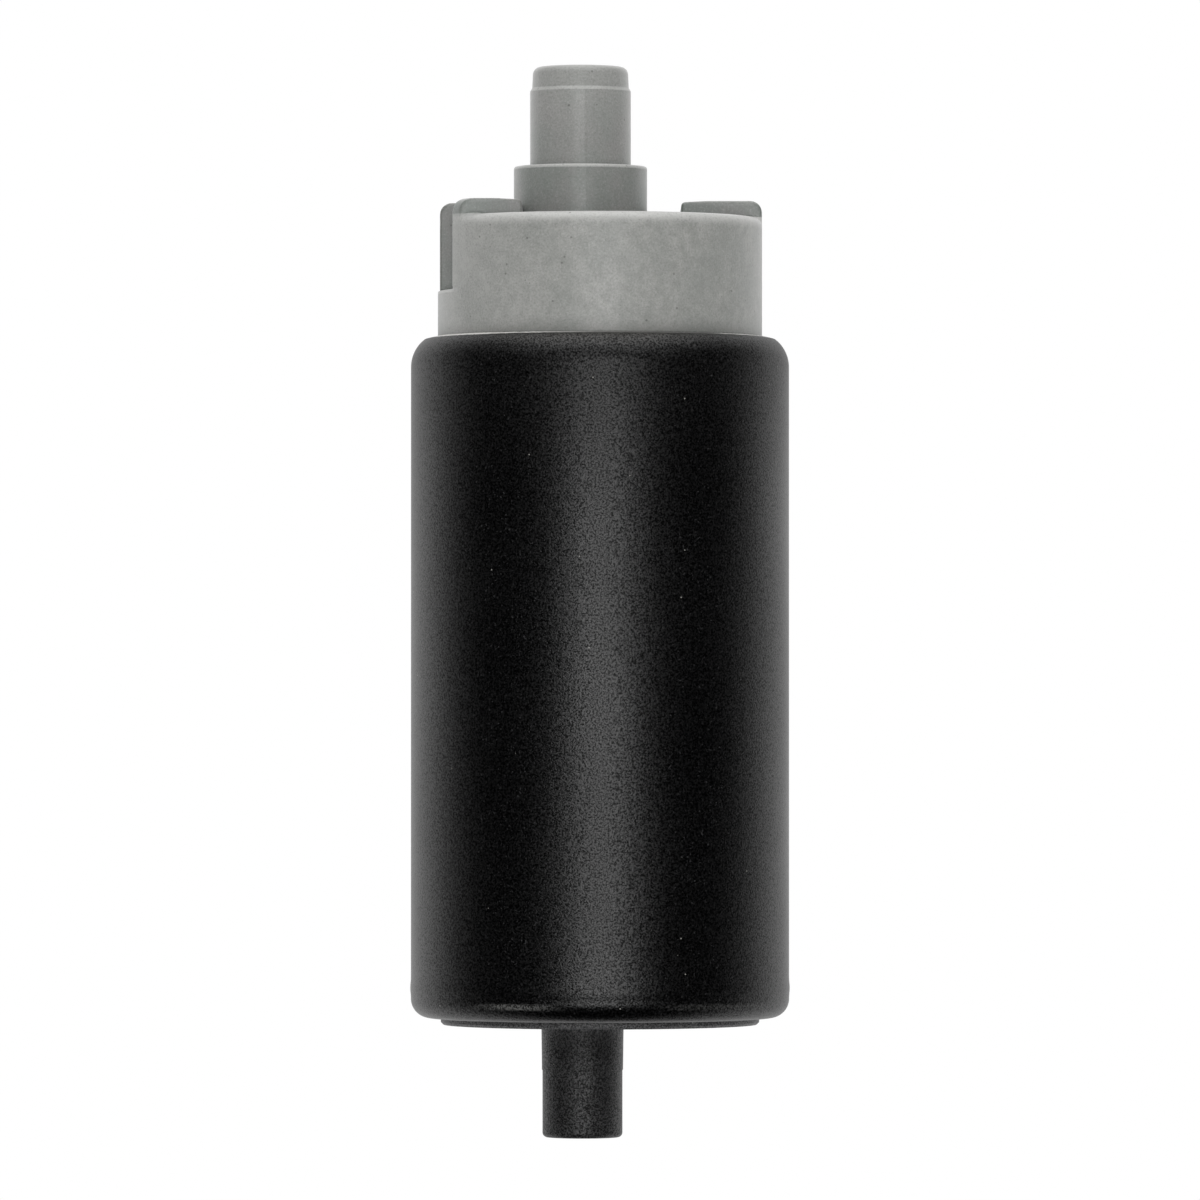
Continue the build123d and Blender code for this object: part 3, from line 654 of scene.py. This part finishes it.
def spring_path(low, high, wire, turns, turn):
    """The wire's middle, and the direction outwards there, after a number of turns from the foot."""
    rise = high[2] - low[2] - wire
    tight = closed_pitch * wire
    pitch = (rise - 2 * tight * closed_turns) / (turns - 2 * closed_turns)
    closed_low = min(turn, closed_turns)
    closed_high = max(turn - turns + closed_turns, 0.0)
    climb = tight * (closed_low + closed_high) + pitch * (turn - closed_low - closed_high)
    outward = Vector((math.cos(2 * math.pi * turn), math.sin(2 * math.pi * turn), 0.0))
    axis = Vector(((low[0] + high[0]) / 2, (low[1] + high[1]) / 2, low[2] + wire / 2 + climb))
    return axis + (high[0] - low[0] - wire) / 2 * outward, outward


def spring_form(name, low, high, wire, turns):
    """A compression spring of round wire between two corners, with its end coils closed up."""
    upward = Vector((0.0, 0.0, 1.0))
    bm = bmesh.new()
    rings = []
    for step in range(turns * turn_steps + 1):
        middle, outward = spring_path(low, high, wire, turns, step / turn_steps)
        ring = []
        for side in range(wire_sides):
            angle = 2 * math.pi * side / wire_sides
            offset = math.cos(angle) * outward + math.sin(angle) * upward
            ring.append(bm.verts.new(middle + wire / 2 * offset))
        rings.append(ring)
    for first, second in zip(rings, rings[1:]):
        for side in range(wire_sides):
            after = (side + 1) % wire_sides
            bm.faces.new((first[side], first[after], second[after], second[side]))
    bm.faces.new(rings[0])
    bm.faces.new(rings[-1])
    return shade(mesh_piece(name, bm), spring_edge_angle)


class Nodes:
    """A node tree, with short ways to add to it."""

    def __init__(self, tree, vector):
        self.tree = tree
        self.place = self.add("ShaderNodeTexCoord").outputs[vector]

    def add(self, kind, inputs=None, **settings):
        """Adds a node, with its settings and its input values or links."""
        node = self.tree.nodes.new(kind)
        for key, value in settings.items():
            setattr(node, key, value)
        for key, value in (inputs or {}).items():
            self.feed(node.inputs[key], value)
        return node

    def feed(self, socket, value):
        """Gives an input a link, a colour or a number."""
        if isinstance(value, bpy.types.NodeSocket):
            self.tree.links.new(value, socket)
        elif isinstance(value, tuple) and socket.type == "RGBA":
            socket.default_value = (*value, 1.0)
        else:
            socket.default_value = value

    def ramp(self, value, low, high, start=0.0, end=1.0):
        """Maps a value smoothly from one range to another."""
        inputs = {"Value": value, "From Min": low, "From Max": high, "To Min": start, "To Max": end}
        return self.add("ShaderNodeMapRange", inputs, interpolation_type="SMOOTHSTEP").outputs[0]

    def math(self, operation, a, b=0.0):
        """One step of arithmetic on two values."""
        return self.add("ShaderNodeMath", {0: a, 1: b}, operation=operation).outputs[0]

    def all_of(self, first, *others):
        """The product of several masks."""
        for other in others:
            first = self.math("MULTIPLY", first, other)
        return first

    def any_of(self, first, *others):
        """The greatest of several masks."""
        for other in others:
            first = self.math("MAXIMUM", first, other)
        return first

    def between(self, value, low, high, blur, peak=1.0):
        """A mask that has its peak between two values and fades over the blur outside them."""
        return self.all_of(self.ramp(value, low - blur, low, 0.0, peak), self.ramp(value, high + blur, high))


class Recipe(Nodes):
    """One procedural material."""

    def __init__(self, name, **values):
        self.material = bpy.data.materials.new(name)
        self.material.use_nodes = True
        super().__init__(self.material.node_tree, "Object")
        self.shader = self.tree.nodes["Principled BSDF"]
        for socket, value in values.items():
            self.set(socket.replace("_", " ").title(), value)

    def set(self, name, value):
        """Sets or links one of the shader's sockets."""
        self.feed(self.shader.inputs["IOR" if name == "Ior" else name], value)

    def stretched(self, scale):
        """Object coordinates in metres, scaled along each axis."""
        return self.add("ShaderNodeMapping", {"Vector": self.place, "Scale": scale}).outputs[0]

    def noise(self, size, detail=2.0, rough=0.5, vector=None):
        """Noise with features of about a size in millimetres."""
        inputs = {
            "Vector": vector or self.place,
            "Scale": 1 / (size * MM),
            "Detail": detail,
            "Roughness": rough,
        }
        return self.add("ShaderNodeTexNoise", inputs).outputs["Fac"]

    def cells(self, size, output="Distance"):
        """Voronoi cells of about a size in millimetres."""
        inputs = {"Vector": self.place, "Scale": 1 / (size * MM)}
        return self.add("ShaderNodeTexVoronoi", inputs).outputs[output]

    def mix(self, factor, a, b):
        """Blends two colours."""
        return self.add("ShaderNodeMix", {0: factor, 6: a, 7: b}, data_type="RGBA").outputs[2]

    def blend(self, factor, a, b):
        """Blends two numbers."""
        return self.add("ShaderNodeMix", {0: factor, 2: a, 3: b}, data_type="FLOAT").outputs[0]

    def relief(self, *layers):
        """Bump from (height, depth in millimetres) layers, each laid on the one before."""
        normal = None
        for height, depth in layers:
            inputs = {"Height": height, "Distance": depth * MM, "Strength": 1.0}
            if normal:
                inputs["Normal"] = normal
            normal = self.add("ShaderNodeBump", inputs).outputs[0]
        self.set("Normal", normal)

    def axes(self):
        """Object coordinates x, y and z in millimetres."""
        scaled = self.stretched((1 / MM, 1 / MM, 1 / MM))
        return self.add("ShaderNodeSeparateXYZ", {0: scaled}).outputs

    def radius(self, x=0.0, y=0.0):
        """Distance in millimetres from a vertical axis."""
        place = self.axes()
        across = self.math("SUBTRACT", place[0], x)
        deep = self.math("SUBTRACT", place[1], y)
        squares = self.math("ADD", self.math("MULTIPLY", across, across), self.math("MULTIPLY", deep, deep))
        return self.math("SQRT", squares)

    def specks(self, cell, share, size):
        """A mask of sparse specks: few of the cells get one, each smaller than its cell."""
        picked = self.ramp(self.cells(cell, "Color"), 1 - share, 1 - share + 0.005)
        near = self.ramp(self.cells(cell), size / cell, 0.6 * size / cell)
        return self.all_of(picked, near)


def coat_colour(recipe, x, height, grain, glint):
    """Near-black paint with painted glints, a dull film on the shoulder that is also a painted highlight, a
    painted highlight streak and pale specks.
    """
    colour = recipe.mix(recipe.ramp(grain, 0.4, 0.7), coat_black, coat_haze)
    # Painted glints: bright grains standing in for the coat's sparkle
    colour = recipe.mix(recipe.ramp(glint, 0.62, 0.8), colour, coat_glint)
    # A warm film on the shoulder, kept to the front middle, that also paints the shoulder's highlight
    film_and_highlight = recipe.all_of(
        recipe.ramp(height, *film_and_highlight_height),
        recipe.between(x, *film_and_highlight_band),
        recipe.ramp(grain, 0.2, 0.8),
    )
    colour = recipe.mix(film_and_highlight, colour, coat_film_and_highlight)
    # A painted highlight streak on the bulge above the foot
    paler_mask = recipe.all_of(
        recipe.between(height, *streak_height),
        recipe.any_of(recipe.between(x, *streak_left), recipe.between(x, *streak_right)),
        recipe.ramp(grain, 0.35, 0.65),
    )
    colour = recipe.mix(paler_mask, colour, coat_streak_highlight)
    return recipe.mix(recipe.specks(1.7, 0.3, 0.085), colour, coat_speck)


def bare_and_lit_edges(recipe, x, y, height):
    """Where the coat is off the lip beside the cap, and off the rolled foot. On the lip's front left the bare
    line is also a painted highlight.
    """
    uneven = recipe.math("SUBTRACT", recipe.noise(ragged_size, 3.0), 0.5)
    reach = recipe.math("ADD", recipe.radius(), recipe.math("MULTIPLY", uneven, ragged_depth))
    sides = recipe.any_of(recipe.ramp(x, *worn_and_lit_left), recipe.ramp(x, *worn_and_lit_right))
    worn_and_lit_share = recipe.all_of(sides, recipe.ramp(y, *worn_and_lit_front))
    worn = recipe.between(reach, *worn_band)
    chipped = recipe.all_of(
        recipe.between(reach, *chipped_band),
        recipe.ramp(x, *chipped_and_lit_left),
        recipe.ramp(y, *chipped_and_lit_front),
    )
    # The lip's bare line, kept to the front left and brightest there, is also a painted highlight
    top_edge_worn_and_lit = recipe.all_of(recipe.any_of(worn, chipped), recipe.ramp(height, *worn_height), worn_and_lit_share)
    foot_edge = recipe.all_of(recipe.ramp(reach, *foot_band), recipe.ramp(height, *foot_height))
    return recipe.any_of(top_edge_worn_and_lit, foot_edge)


def coat_material():
    """Fine-grained satin black coating over steel, worn to bare metal along its two edges, with painted
    glints and painted highlights in its colour.
    """
    recipe = Recipe("shell_coat", ior=1.5)
    x, y, height = recipe.axes()
    grain = recipe.noise(0.19, 2.0, 0.65)
    colour = coat_colour(recipe, x, height, grain, recipe.noise(0.2, 1.0, 0.5))
    bare_and_lit = bare_and_lit_edges(recipe, x, y, height)
    recipe.set("Base Color", recipe.mix(bare_and_lit, colour, bare_steel))
    recipe.set("Metallic", recipe.math("MULTIPLY", bare_and_lit, bare_metallic))
    satin = recipe.ramp(recipe.noise(14.0, 3.0), 0.35, 0.65, *coat_roughness)
    satin = recipe.math("ADD", satin, recipe.ramp(grain, 0.35, 0.7, *grain_roughness))
    satin = recipe.math("ADD", satin, recipe.ramp(height, *top_roughness))
    recipe.set("Roughness", recipe.blend(bare_and_lit, satin, bare_roughness))
    recipe.set("Specular IOR Level", recipe.ramp(grain, 0.34, 0.68, 0.1, 1.0))
    recipe.relief((grain, 0.035))
    return recipe.material


def pocket_mask(recipe, x, y, height):
    """Where the inner walls of the two terminal pockets are."""
    pockets = []
    for side in (-1, 1):
        inner = pocket_reach[side] + pocket_inner_wall - pocket_margin
        outward = recipe.ramp(recipe.math("MULTIPLY", x, float(side)), inner - hair, inner)
        front = pocket_front[side] - pocket_margin
        rear = pocket_front[side] + pocket_width + pocket_margin
        pockets.append(recipe.all_of(outward, recipe.between(y, front, rear, pocket_blur)))
    return recipe.all_of(recipe.any_of(*pockets), recipe.ramp(height, *above_pocket_floor))


def lit_and_worn_edges(recipe, x, height, radius, from_nipple, open_side):
    """The cap's and nipple's edges painted pale, each by its own share: painted highlights where the top
    light catches them, and wear from handling.
    """
    rim = recipe.all_of(
        open_side,
        recipe.ramp(radius, rim_inner - 0.2, rim_inner),
        recipe.ramp(height, rim_top - 1.4, rim_top - 0.2),
        recipe.ramp(height, rim_top + 0.15, rim_top + 0.02),
        recipe.ramp(x, -15.0, -11.5, 0.3, 1.0),
    )
    ledge = recipe.all_of(
        recipe.ramp(x, -cap_radius + 2.2, -cap_radius + 1.2),
        recipe.between(height, pocket_floor - 0.25, pocket_floor + 0.03, 0.1),
    )
    collar = recipe.all_of(
        recipe.between(height, collar_top - 0.28, collar_top + 0.05, 0.08),
        recipe.ramp(from_nipple, collar_radius - 0.5, collar_radius - 0.3),
    )
    ears = recipe.all_of(
        recipe.ramp(height, ear_top[-1] - 0.5, ear_top[-1]),
        recipe.ramp(height, ear_top[1] + 0.3, ear_top[1] + 0.2),
        recipe.ramp(from_nipple, collar_radius + 0.2, collar_radius + 0.4),
    )
    shoulder = recipe.between(height, nipple_shoulder - 0.34, nipple_shoulder - 0.1, 0.08)
    tip = recipe.ramp(height, nipple_top - 0.35, nipple_top - 0.05)
    shares = ((ledge, 0.8), (collar, 0.75), (shoulder, 0.4), (ears, 0.35), (tip, 0.5))
    return recipe.any_of(rim, *(recipe.math("MULTIPLY", mask, share) for mask, share in shares))


def tube_mix(recipe, soft, height, from_nipple):
    """The greener grey of the deck and ears, darker partly as painted shade of their recess, and the lighter
    grey of the collar and the nipple.
    """
    nipple = recipe.all_of(
        recipe.ramp(from_nipple, nipple_radius + 0.5, nipple_radius + 0.2),
        recipe.ramp(height, collar_top - 0.2, collar_top + 0.3),
    )
    collar = recipe.ramp(from_nipple, collar_radius + 0.3, collar_radius + 0.1)
    tube = recipe.mix(soft, tube_dark, tube_light)
    moulded = recipe.mix(collar, recipe.mix(soft, moulded_dark, moulded_light), tube)
    tip = recipe.mix(recipe.ramp(height, *tip_paling), tube, tube_pale)
    return recipe.mix(nipple, moulded, tip)


def grey_dirt_and_shade(recipe, colour, height, fine, mottle, cloud):
    """Adds the grain, dark specks, blotches, and a painted shade just above the shell that is mottled like
    grime.
    """
    colour = recipe.mix(recipe.ramp(fine, 0.45, 0.8, 0.0, 0.5), colour, grain_dark)
    colour = recipe.mix(recipe.ramp(fine, 0.5, 0.2, 0.0, 0.3), colour, grain_light)
    specks = recipe.math("MULTIPLY", recipe.specks(1.2, 0.4, 0.14), 0.5)
    colour = recipe.mix(specks, colour, dirt_speck)
    stain = recipe.ramp(recipe.noise(0.7, 3.0, 0.6), 0.66, 0.78)
    blotch = recipe.math("MULTIPLY", recipe.all_of(stain, recipe.ramp(cloud, 0.45, 0.6)), 0.4)
    colour = recipe.mix(blotch, colour, dirt_blotch)
    # Painted contact shade just above the shell, broken up by the mottle
    near_shell = recipe.ramp(height, *joint_shade_height)
    joint_shade = recipe.all_of(near_shell, recipe.ramp(mottle, 0.25, 0.65, 0.55, 1.0))
    return recipe.mix(joint_shade, colour, joint_shade_colour)


def grey_material():
    """Grey moulding: chalky and scuffed on the outer wall, greener and darker elsewhere, partly as painted
    shade of the recesses, and pale on its edges as painted highlight and wear.
    """
    recipe = Recipe("cap_grey", ior=1.5, sheen_weight=0.25, sheen_roughness=0.45)
    x, y, height = recipe.axes()
    radius = recipe.radius()
    from_nipple = recipe.radius(nipple_x, nipple_y)
    fine = recipe.noise(0.2, 3.0, 0.7)
    mottle = recipe.noise(1.1, 4.0, 0.65)
    cloud = recipe.noise(5.0, 3.0)
    # The pocket walls are kept off the chalky wall, so they take the darker moulded grey, partly painted
    # shade
    open_side = recipe.math("SUBTRACT", 1.0, pocket_mask(recipe, x, y, height))
    wall = recipe.all_of(
        open_side,
        recipe.ramp(radius, cap_radius - 0.5, cap_radius - 0.2),
        recipe.ramp(height, rim_top + 0.15, rim_top - 0.25),
    )
    moulded = tube_mix(recipe, recipe.ramp(cloud, 0.3, 0.7), height, from_nipple)
    chalk = recipe.mix(recipe.ramp(mottle, 0.3, 0.7), chalk_dark, chalk_light)
    chalk = recipe.mix(recipe.ramp(x, *left_paling), chalk, chalk_pale)
    chalk = recipe.mix(recipe.ramp(cloud, 0.42, 0.7, 0.0, 0.6), chalk, chalk_cloud)
    colour = recipe.mix(wall, moulded, chalk)
    edge_light_and_wear = lit_and_worn_edges(recipe, x, height, radius, from_nipple, open_side)
    # Pale edges: painted highlights and wear
    paler_mask = recipe.all_of(edge_light_and_wear, recipe.ramp(mottle, 0.1, 0.5, 0.6, 1.0))
    colour = recipe.mix(paler_mask, colour, lit_worn_edge)
    recipe.set("Base Color", grey_dirt_and_shade(recipe, colour, height, fine, mottle, cloud))
    recipe.set("Roughness", recipe.blend(wall, recipe.ramp(mottle, 0.3, 0.7, 0.28, 0.34), 0.4))
    recipe.relief((mottle, 0.012), (fine, 0.012))
    return recipe.material


def moulding_material(name, dark, light, rough=0.5, grain=0.2, depth=0.015):
    """A moulded plastic with fine grain and slight flow marks."""
    recipe = Recipe(name, ior=1.5)
    fine = recipe.noise(grain, 3.0, 0.6)
    flow = recipe.noise(4.0, 3.0, 0.6)
    recipe.set("Base Color", recipe.mix(recipe.ramp(flow, 0.3, 0.7), dark, light))
    recipe.set("Roughness", recipe.ramp(fine, 0.3, 0.7, rough - 0.05, rough + 0.08))
    recipe.relief((flow, 0.02), (fine, depth))
    return recipe.material


def turned_material(name, dark, light, rough=0.3):
    """Turned or drawn metal: fine rings along the height and faint stains."""
    recipe = Recipe(name, metallic=1.0)
    rings = recipe.noise(1.0, 3.0, 0.6, recipe.stretched((0.4, 0.4, 9.0)))
    stain = recipe.noise(3.0, 3.0)
    recipe.set("Base Color", recipe.mix(recipe.ramp(stain, 0.3, 0.7), dark, light))
    recipe.set("Roughness", recipe.ramp(rings, 0.3, 0.7, rough - 0.08, rough + 0.1))
    recipe.relief((rings, 0.008))
    return recipe.material


def brushed_material(name, dark, light):
    """Stamped and tinned strip, with faint lines along its length."""
    recipe = Recipe(name, metallic=1.0)
    lines = recipe.noise(0.5, 2.0, 0.5, recipe.stretched((2.0, 2.0, 0.1)))
    recipe.set("Base Color", recipe.mix(recipe.ramp(recipe.noise(2.0, 3.0), 0.3, 0.7), dark, light))
    recipe.set("Roughness", recipe.ramp(lines, 0.3, 0.7, 0.34, 0.42))
    return recipe.material


def porous_material(name, dark, light, metallic, rough, pore=0.18):
    """Sintered or pressed material: small dark pores between grains."""
    recipe = Recipe(name, metallic=metallic)
    grains = recipe.cells(pore)
    colour = recipe.mix(recipe.ramp(grains, 0.25, 0.75), light, dark)
    recipe.set("Base Color", recipe.mix(recipe.ramp(recipe.noise(2.5), 0.35, 0.7, 0.0, 0.4), colour, dark))
    recipe.set("Roughness", recipe.ramp(grains, 0.2, 0.8, rough, rough + 0.2))
    recipe.relief((recipe.math("SUBTRACT", 1.0, grains), 0.02))
    return recipe.material


def banded_material(name, dark, light, pitch, metallic, rough, depth=0.05):
    """Fine parallel ridges, such as wire laid side by side or the edges of stacked sheets."""
    recipe = Recipe(name, metallic=metallic)
    scale = math.pi / (10 * pitch * MM)
    inputs = {"Vector": recipe.place, "Scale": scale, "Distortion": 0.4, "Detail": 1.0}
    wave = recipe.add("ShaderNodeTexWave", inputs, bands_direction="Z").outputs["Fac"]
    recipe.set("Base Color", recipe.mix(wave, dark, light))
    recipe.set("Roughness", recipe.ramp(recipe.noise(1.5), 0.3, 0.7, rough - 0.06, rough + 0.1))
    recipe.relief((wave, depth))
    return recipe.material


def rubber_material(name, dark, light):
    """Nitrile rubber with a soft bloom."""
    recipe = Recipe(name, ior=1.5)
    bloom = recipe.noise(1.8, 4.0, 0.65)
    recipe.set("Base Color", recipe.mix(recipe.ramp(bloom, 0.4, 0.7), dark, light))
    recipe.set("Roughness", recipe.ramp(bloom, 0.35, 0.7, 0.55, 0.72))
    recipe.relief((recipe.noise(0.12, 2.0), 0.006))
    return recipe.material


def cover_material():
    """Black glass-filled moulding of the inlet cover and its stub, dull, paler where the disc is rubbed."""
    recipe = Recipe("cover_black", ior=1.5)
    fine = recipe.noise(0.17, 2.0, 0.7)
    flow = recipe.ramp(recipe.noise(2.5, 4.0, 0.6), 0.3, 0.7)
    paler_mask = recipe.ramp(recipe.axes()[2], *cover_rubbed_height)
    dark = recipe.mix(paler_mask, cover_dark, cover_dark_rubbed)
    light = recipe.mix(paler_mask, recipe.mix(flow, cover_light, cover_light_flow), cover_light_rubbed)
    colour = recipe.mix(recipe.ramp(fine, 0.4, 0.7), dark, light)
    recipe.set("Base Color", recipe.mix(recipe.specks(1.3, 0.3, 0.1), colour, cover_speck))
    recipe.set("Roughness", recipe.ramp(flow, 0.0, 1.0, 0.46, 0.5))
    recipe.set("Specular IOR Level", recipe.ramp(fine, 0.34, 0.66, 0.1, 1.3))
    recipe.relief((fine, 0.05))
    return recipe.material


def plain_finishes():
    """The slots whose finish is one of the general recipes: maker, dark and light colour, and the rest."""
    return {
        "seal_rubber": (rubber_material, (0.01, 0.01, 0.011), (0.035, 0.035, 0.037)),
        "pump_aluminium": (turned_material, (0.56, 0.57, 0.58), (0.68, 0.69, 0.7), 0.38),
        "impeller_moulding": (moulding_material, (0.05, 0.036, 0.022), (0.085, 0.06, 0.036)),
        "sintered_bronze": (porous_material, (0.2, 0.11, 0.05), (0.52, 0.32, 0.16), 1.0, 0.4),
        "plated_steel": (turned_material, (0.5, 0.5, 0.49), (0.64, 0.64, 0.62), 0.34),
        "ferrite": (porous_material, (0.022, 0.022, 0.024), (0.06, 0.06, 0.063), 0.0, 0.5, 0.1),
        "spring_steel": (turned_material, (0.42, 0.42, 0.43), (0.58, 0.58, 0.58), 0.26),
        "hard_steel": (turned_material, (0.55, 0.55, 0.56), (0.7, 0.7, 0.7), 0.18),
        "lamination_iron": (banded_material, (0.16, 0.16, 0.165), (0.33, 0.33, 0.335), 0.5, 1.0, 0.42, 0.02),
        "slot_fibre": (moulding_material, (0.33, 0.27, 0.15), (0.45, 0.38, 0.23), 0.7, 0.3, 0.03),
        "enamelled_copper": (banded_material, (0.2, 0.045, 0.014), (0.62, 0.2, 0.075), 0.45, 1.0, 0.28, 0.09),
        "bare_copper": (banded_material, (0.5, 0.22, 0.12), (0.85, 0.45, 0.28), 0.3, 1.0, 0.36),
        "brown_moulding": (moulding_material, (0.075, 0.032, 0.015), (0.12, 0.052, 0.025), 0.4),
        "segment_carbon": (porous_material, (0.016, 0.016, 0.017), (0.05, 0.05, 0.052), 0.2, 0.36),
        "washer_moulding": (moulding_material, (0.42, 0.4, 0.33), (0.5, 0.48, 0.41), 0.42),
        "black_moulding": (moulding_material, (0.012, 0.012, 0.013), (0.022, 0.022, 0.023), 0.45),
        "brush_carbon": (porous_material, (0.012, 0.012, 0.013), (0.055, 0.05, 0.046), 0.3, 0.5),
        "tinned_brass": (brushed_material, (0.62, 0.6, 0.55), (0.76, 0.75, 0.72)),
        "valve_moulding": (moulding_material, (0.52, 0.5, 0.44), (0.62, 0.6, 0.54), 0.4),
    }


def finishes():
    """Every material slot of the record, with its procedural material."""
    materials = {
        "shell_coating": coat_material(),
        "grey_moulding": grey_material(),
        "black_cover": cover_material(),
    }
    for slot, (maker, *values) in plain_finishes().items():
        materials[slot] = maker(slot, *values)
    return materials


def dress(frame, materials):
    """Gives every CAD node the material of its slot, and a fine edge to the terminals."""
    for part in frame["record"]["subparts"]:
        node = frame["nodes"][part["node"]]
        for slot in node.material_slots:
            slot.material = materials[part["material_slot"]]
    for name in ("terminal_left", "terminal_right"):
        soften(frame["nodes"][name], blade_edge)


def studio():
    """Surroundings that gloss shows dark in front and white behind, two lamps and the floor."""
    world = bpy.data.worlds.new("studio")
    bpy.context.scene.world = world
    world.use_nodes = True
    world.node_tree.nodes.clear()
    nodes = Nodes(world.node_tree, "Generated")
    across, deep, up = nodes.add("ShaderNodeSeparateXYZ", {0: nodes.place}).outputs
    level, raised = back_direction
    narrowing = nodes.math("MULTIPLY", nodes.math("ABSOLUTE", across), back_narrowing)
    overhead = nodes.math("MULTIPLY", up, nodes.math("SUBTRACT", raised, narrowing))
    behind = nodes.math("ADD", nodes.math("MULTIPLY", deep, level), overhead)
    backdrop = nodes.ramp(behind, 0.0, back_fade, 0.0, back_light)
    sky, mirrored, seen = [
        nodes.add("ShaderNodeBackground", {"Color": white, "Strength": strength}).outputs[0]
        for strength in (sky_light, backdrop, 1.0)
    ]
    ray = nodes.add("ShaderNodeLightPath").outputs
    lit = nodes.add("ShaderNodeMixShader", {0: ray["Is Glossy Ray"], 1: sky, 2: mirrored}).outputs[0]
    direct = nodes.any_of(ray["Is Camera Ray"], ray["Is Transmission Ray"])
    whole = nodes.add("ShaderNodeMixShader", {0: direct, 1: lit, 2: seen}).outputs[0]
    nodes.add("ShaderNodeOutputWorld", {0: whole})
    area_light("softbox", softbox_place, softbox_size, softbox_power, math.radians(90))
    area_light("top_light", top_place, top_size, top_power, math.atan2(-top_place[1], top_place[2]))
    floor()


def area_light(name, place, size, power, tilt):
    """A soft rectangular lamp that the camera doesn't see, turned about the x axis from pointing down."""
    light = bpy.data.lights.new(name, "AREA")
    light.shape = "RECTANGLE"
    light.size = size[0] * MM
    light.size_y = size[1] * MM
    light.energy = power
    lamp = link(bpy.data.objects.new(name, light))
    lamp.location = [value * MM for value in place]
    lamp.rotation_euler = (tilt, 0, 0)
    lamp.visible_camera = False


def floor():
    """A pale floor that stays white behind the object and keeps its shadow."""
    outline = box_outline((-floor_reach, floor_reach), (-floor_reach, floor_reach))
    piece = prism("floor", outline, floor_height - floor_depth, floor_height)
    recipe = Recipe("floor_white", roughness=0.9)
    recipe.set("Base Color", floor_grey)
    ray = recipe.add("ShaderNodeLightPath").outputs
    seen = recipe.any_of(ray["Is Camera Ray"], ray["Is Transmission Ray"])
    glow = recipe.add("ShaderNodeEmission", {"Color": white, "Strength": 1.0})
    fade = recipe.ramp(recipe.radius(), *floor_shadow, floor_shadow_share, 1.0)
    share = recipe.all_of(seen, fade)
    both = recipe.add("ShaderNodeMixShader", {0: share, 1: recipe.shader.outputs[0], 2: glow.outputs[0]})
    recipe.tree.links.new(both.outputs[0], recipe.tree.nodes["Material Output"].inputs["Surface"])
    piece.data.materials.append(recipe.material)
    piece.visible_glossy = False


def camera():
    """A long lens straight in front, level with the shell's middle."""
    data = bpy.data.cameras.new("camera")
    data.sensor_width = sensor_width
    data.lens = sensor_width * camera_distance / frame_width
    data.clip_start = clip_near * MM
    data.clip_end = clip_far * MM
    seen_from = link(bpy.data.objects.new("camera", data))
    seen_from.location = (0, -camera_distance * MM, camera_height * MM)
    aim = Vector((0, 0, aim_height * MM)) - seen_from.location
    seen_from.rotation_euler = aim.to_track_quat("-Z", "Y").to_euler()
    bpy.context.scene.camera = seen_from
    bpy.context.scene.view_settings.view_transform = "Standard"


def stand_in(piece, node, slot, materials):
    """Gives a piece its finish and has it stand for a CAD node."""
    piece.data.materials.clear()
    piece.data.materials.append(materials[slot])
    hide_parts(node)


def add_springs(slots, materials):
    """Coils of round wire that stand for the CAD springs, fixed to the pump body."""
    for node, (joint, wire, turns) in springs.items():
        low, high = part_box(node)
        corners = [[value / MM for value in corner] for corner in (low, high)]
        piece = spring_form(f"{node}_coil", *corners, wire, turns)
        stand_in(piece, node, slots[node], materials)
        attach(piece, "pump_body")
        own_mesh(piece)


def add_leads(frame, slots, materials):
    """Copies of the brush leads that stand for their CAD nodes."""
    for node, body in lead_bodies.items():
        mesh = frame["nodes"][node].data.copy()
        piece = link(bpy.data.objects.new(f"{node}_braid", mesh))
        stand_in(piece, node, slots[node], materials)
        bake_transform(piece)


def main():
    """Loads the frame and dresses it."""
    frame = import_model()
    materials = finishes()
    slots = {part["node"]: part["material_slot"] for part in frame["record"]["subparts"]}
    dress(frame, materials)
    camera()
    studio()
    for piece, node in ((shell_skin(), "shell"), (end_cap_moulding(), "end_cap")):
        stand_in(piece, node, slots[node], materials)
        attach(piece, "pump_body")
    add_springs(slots, materials)
    add_leads(frame, slots, materials)


main()
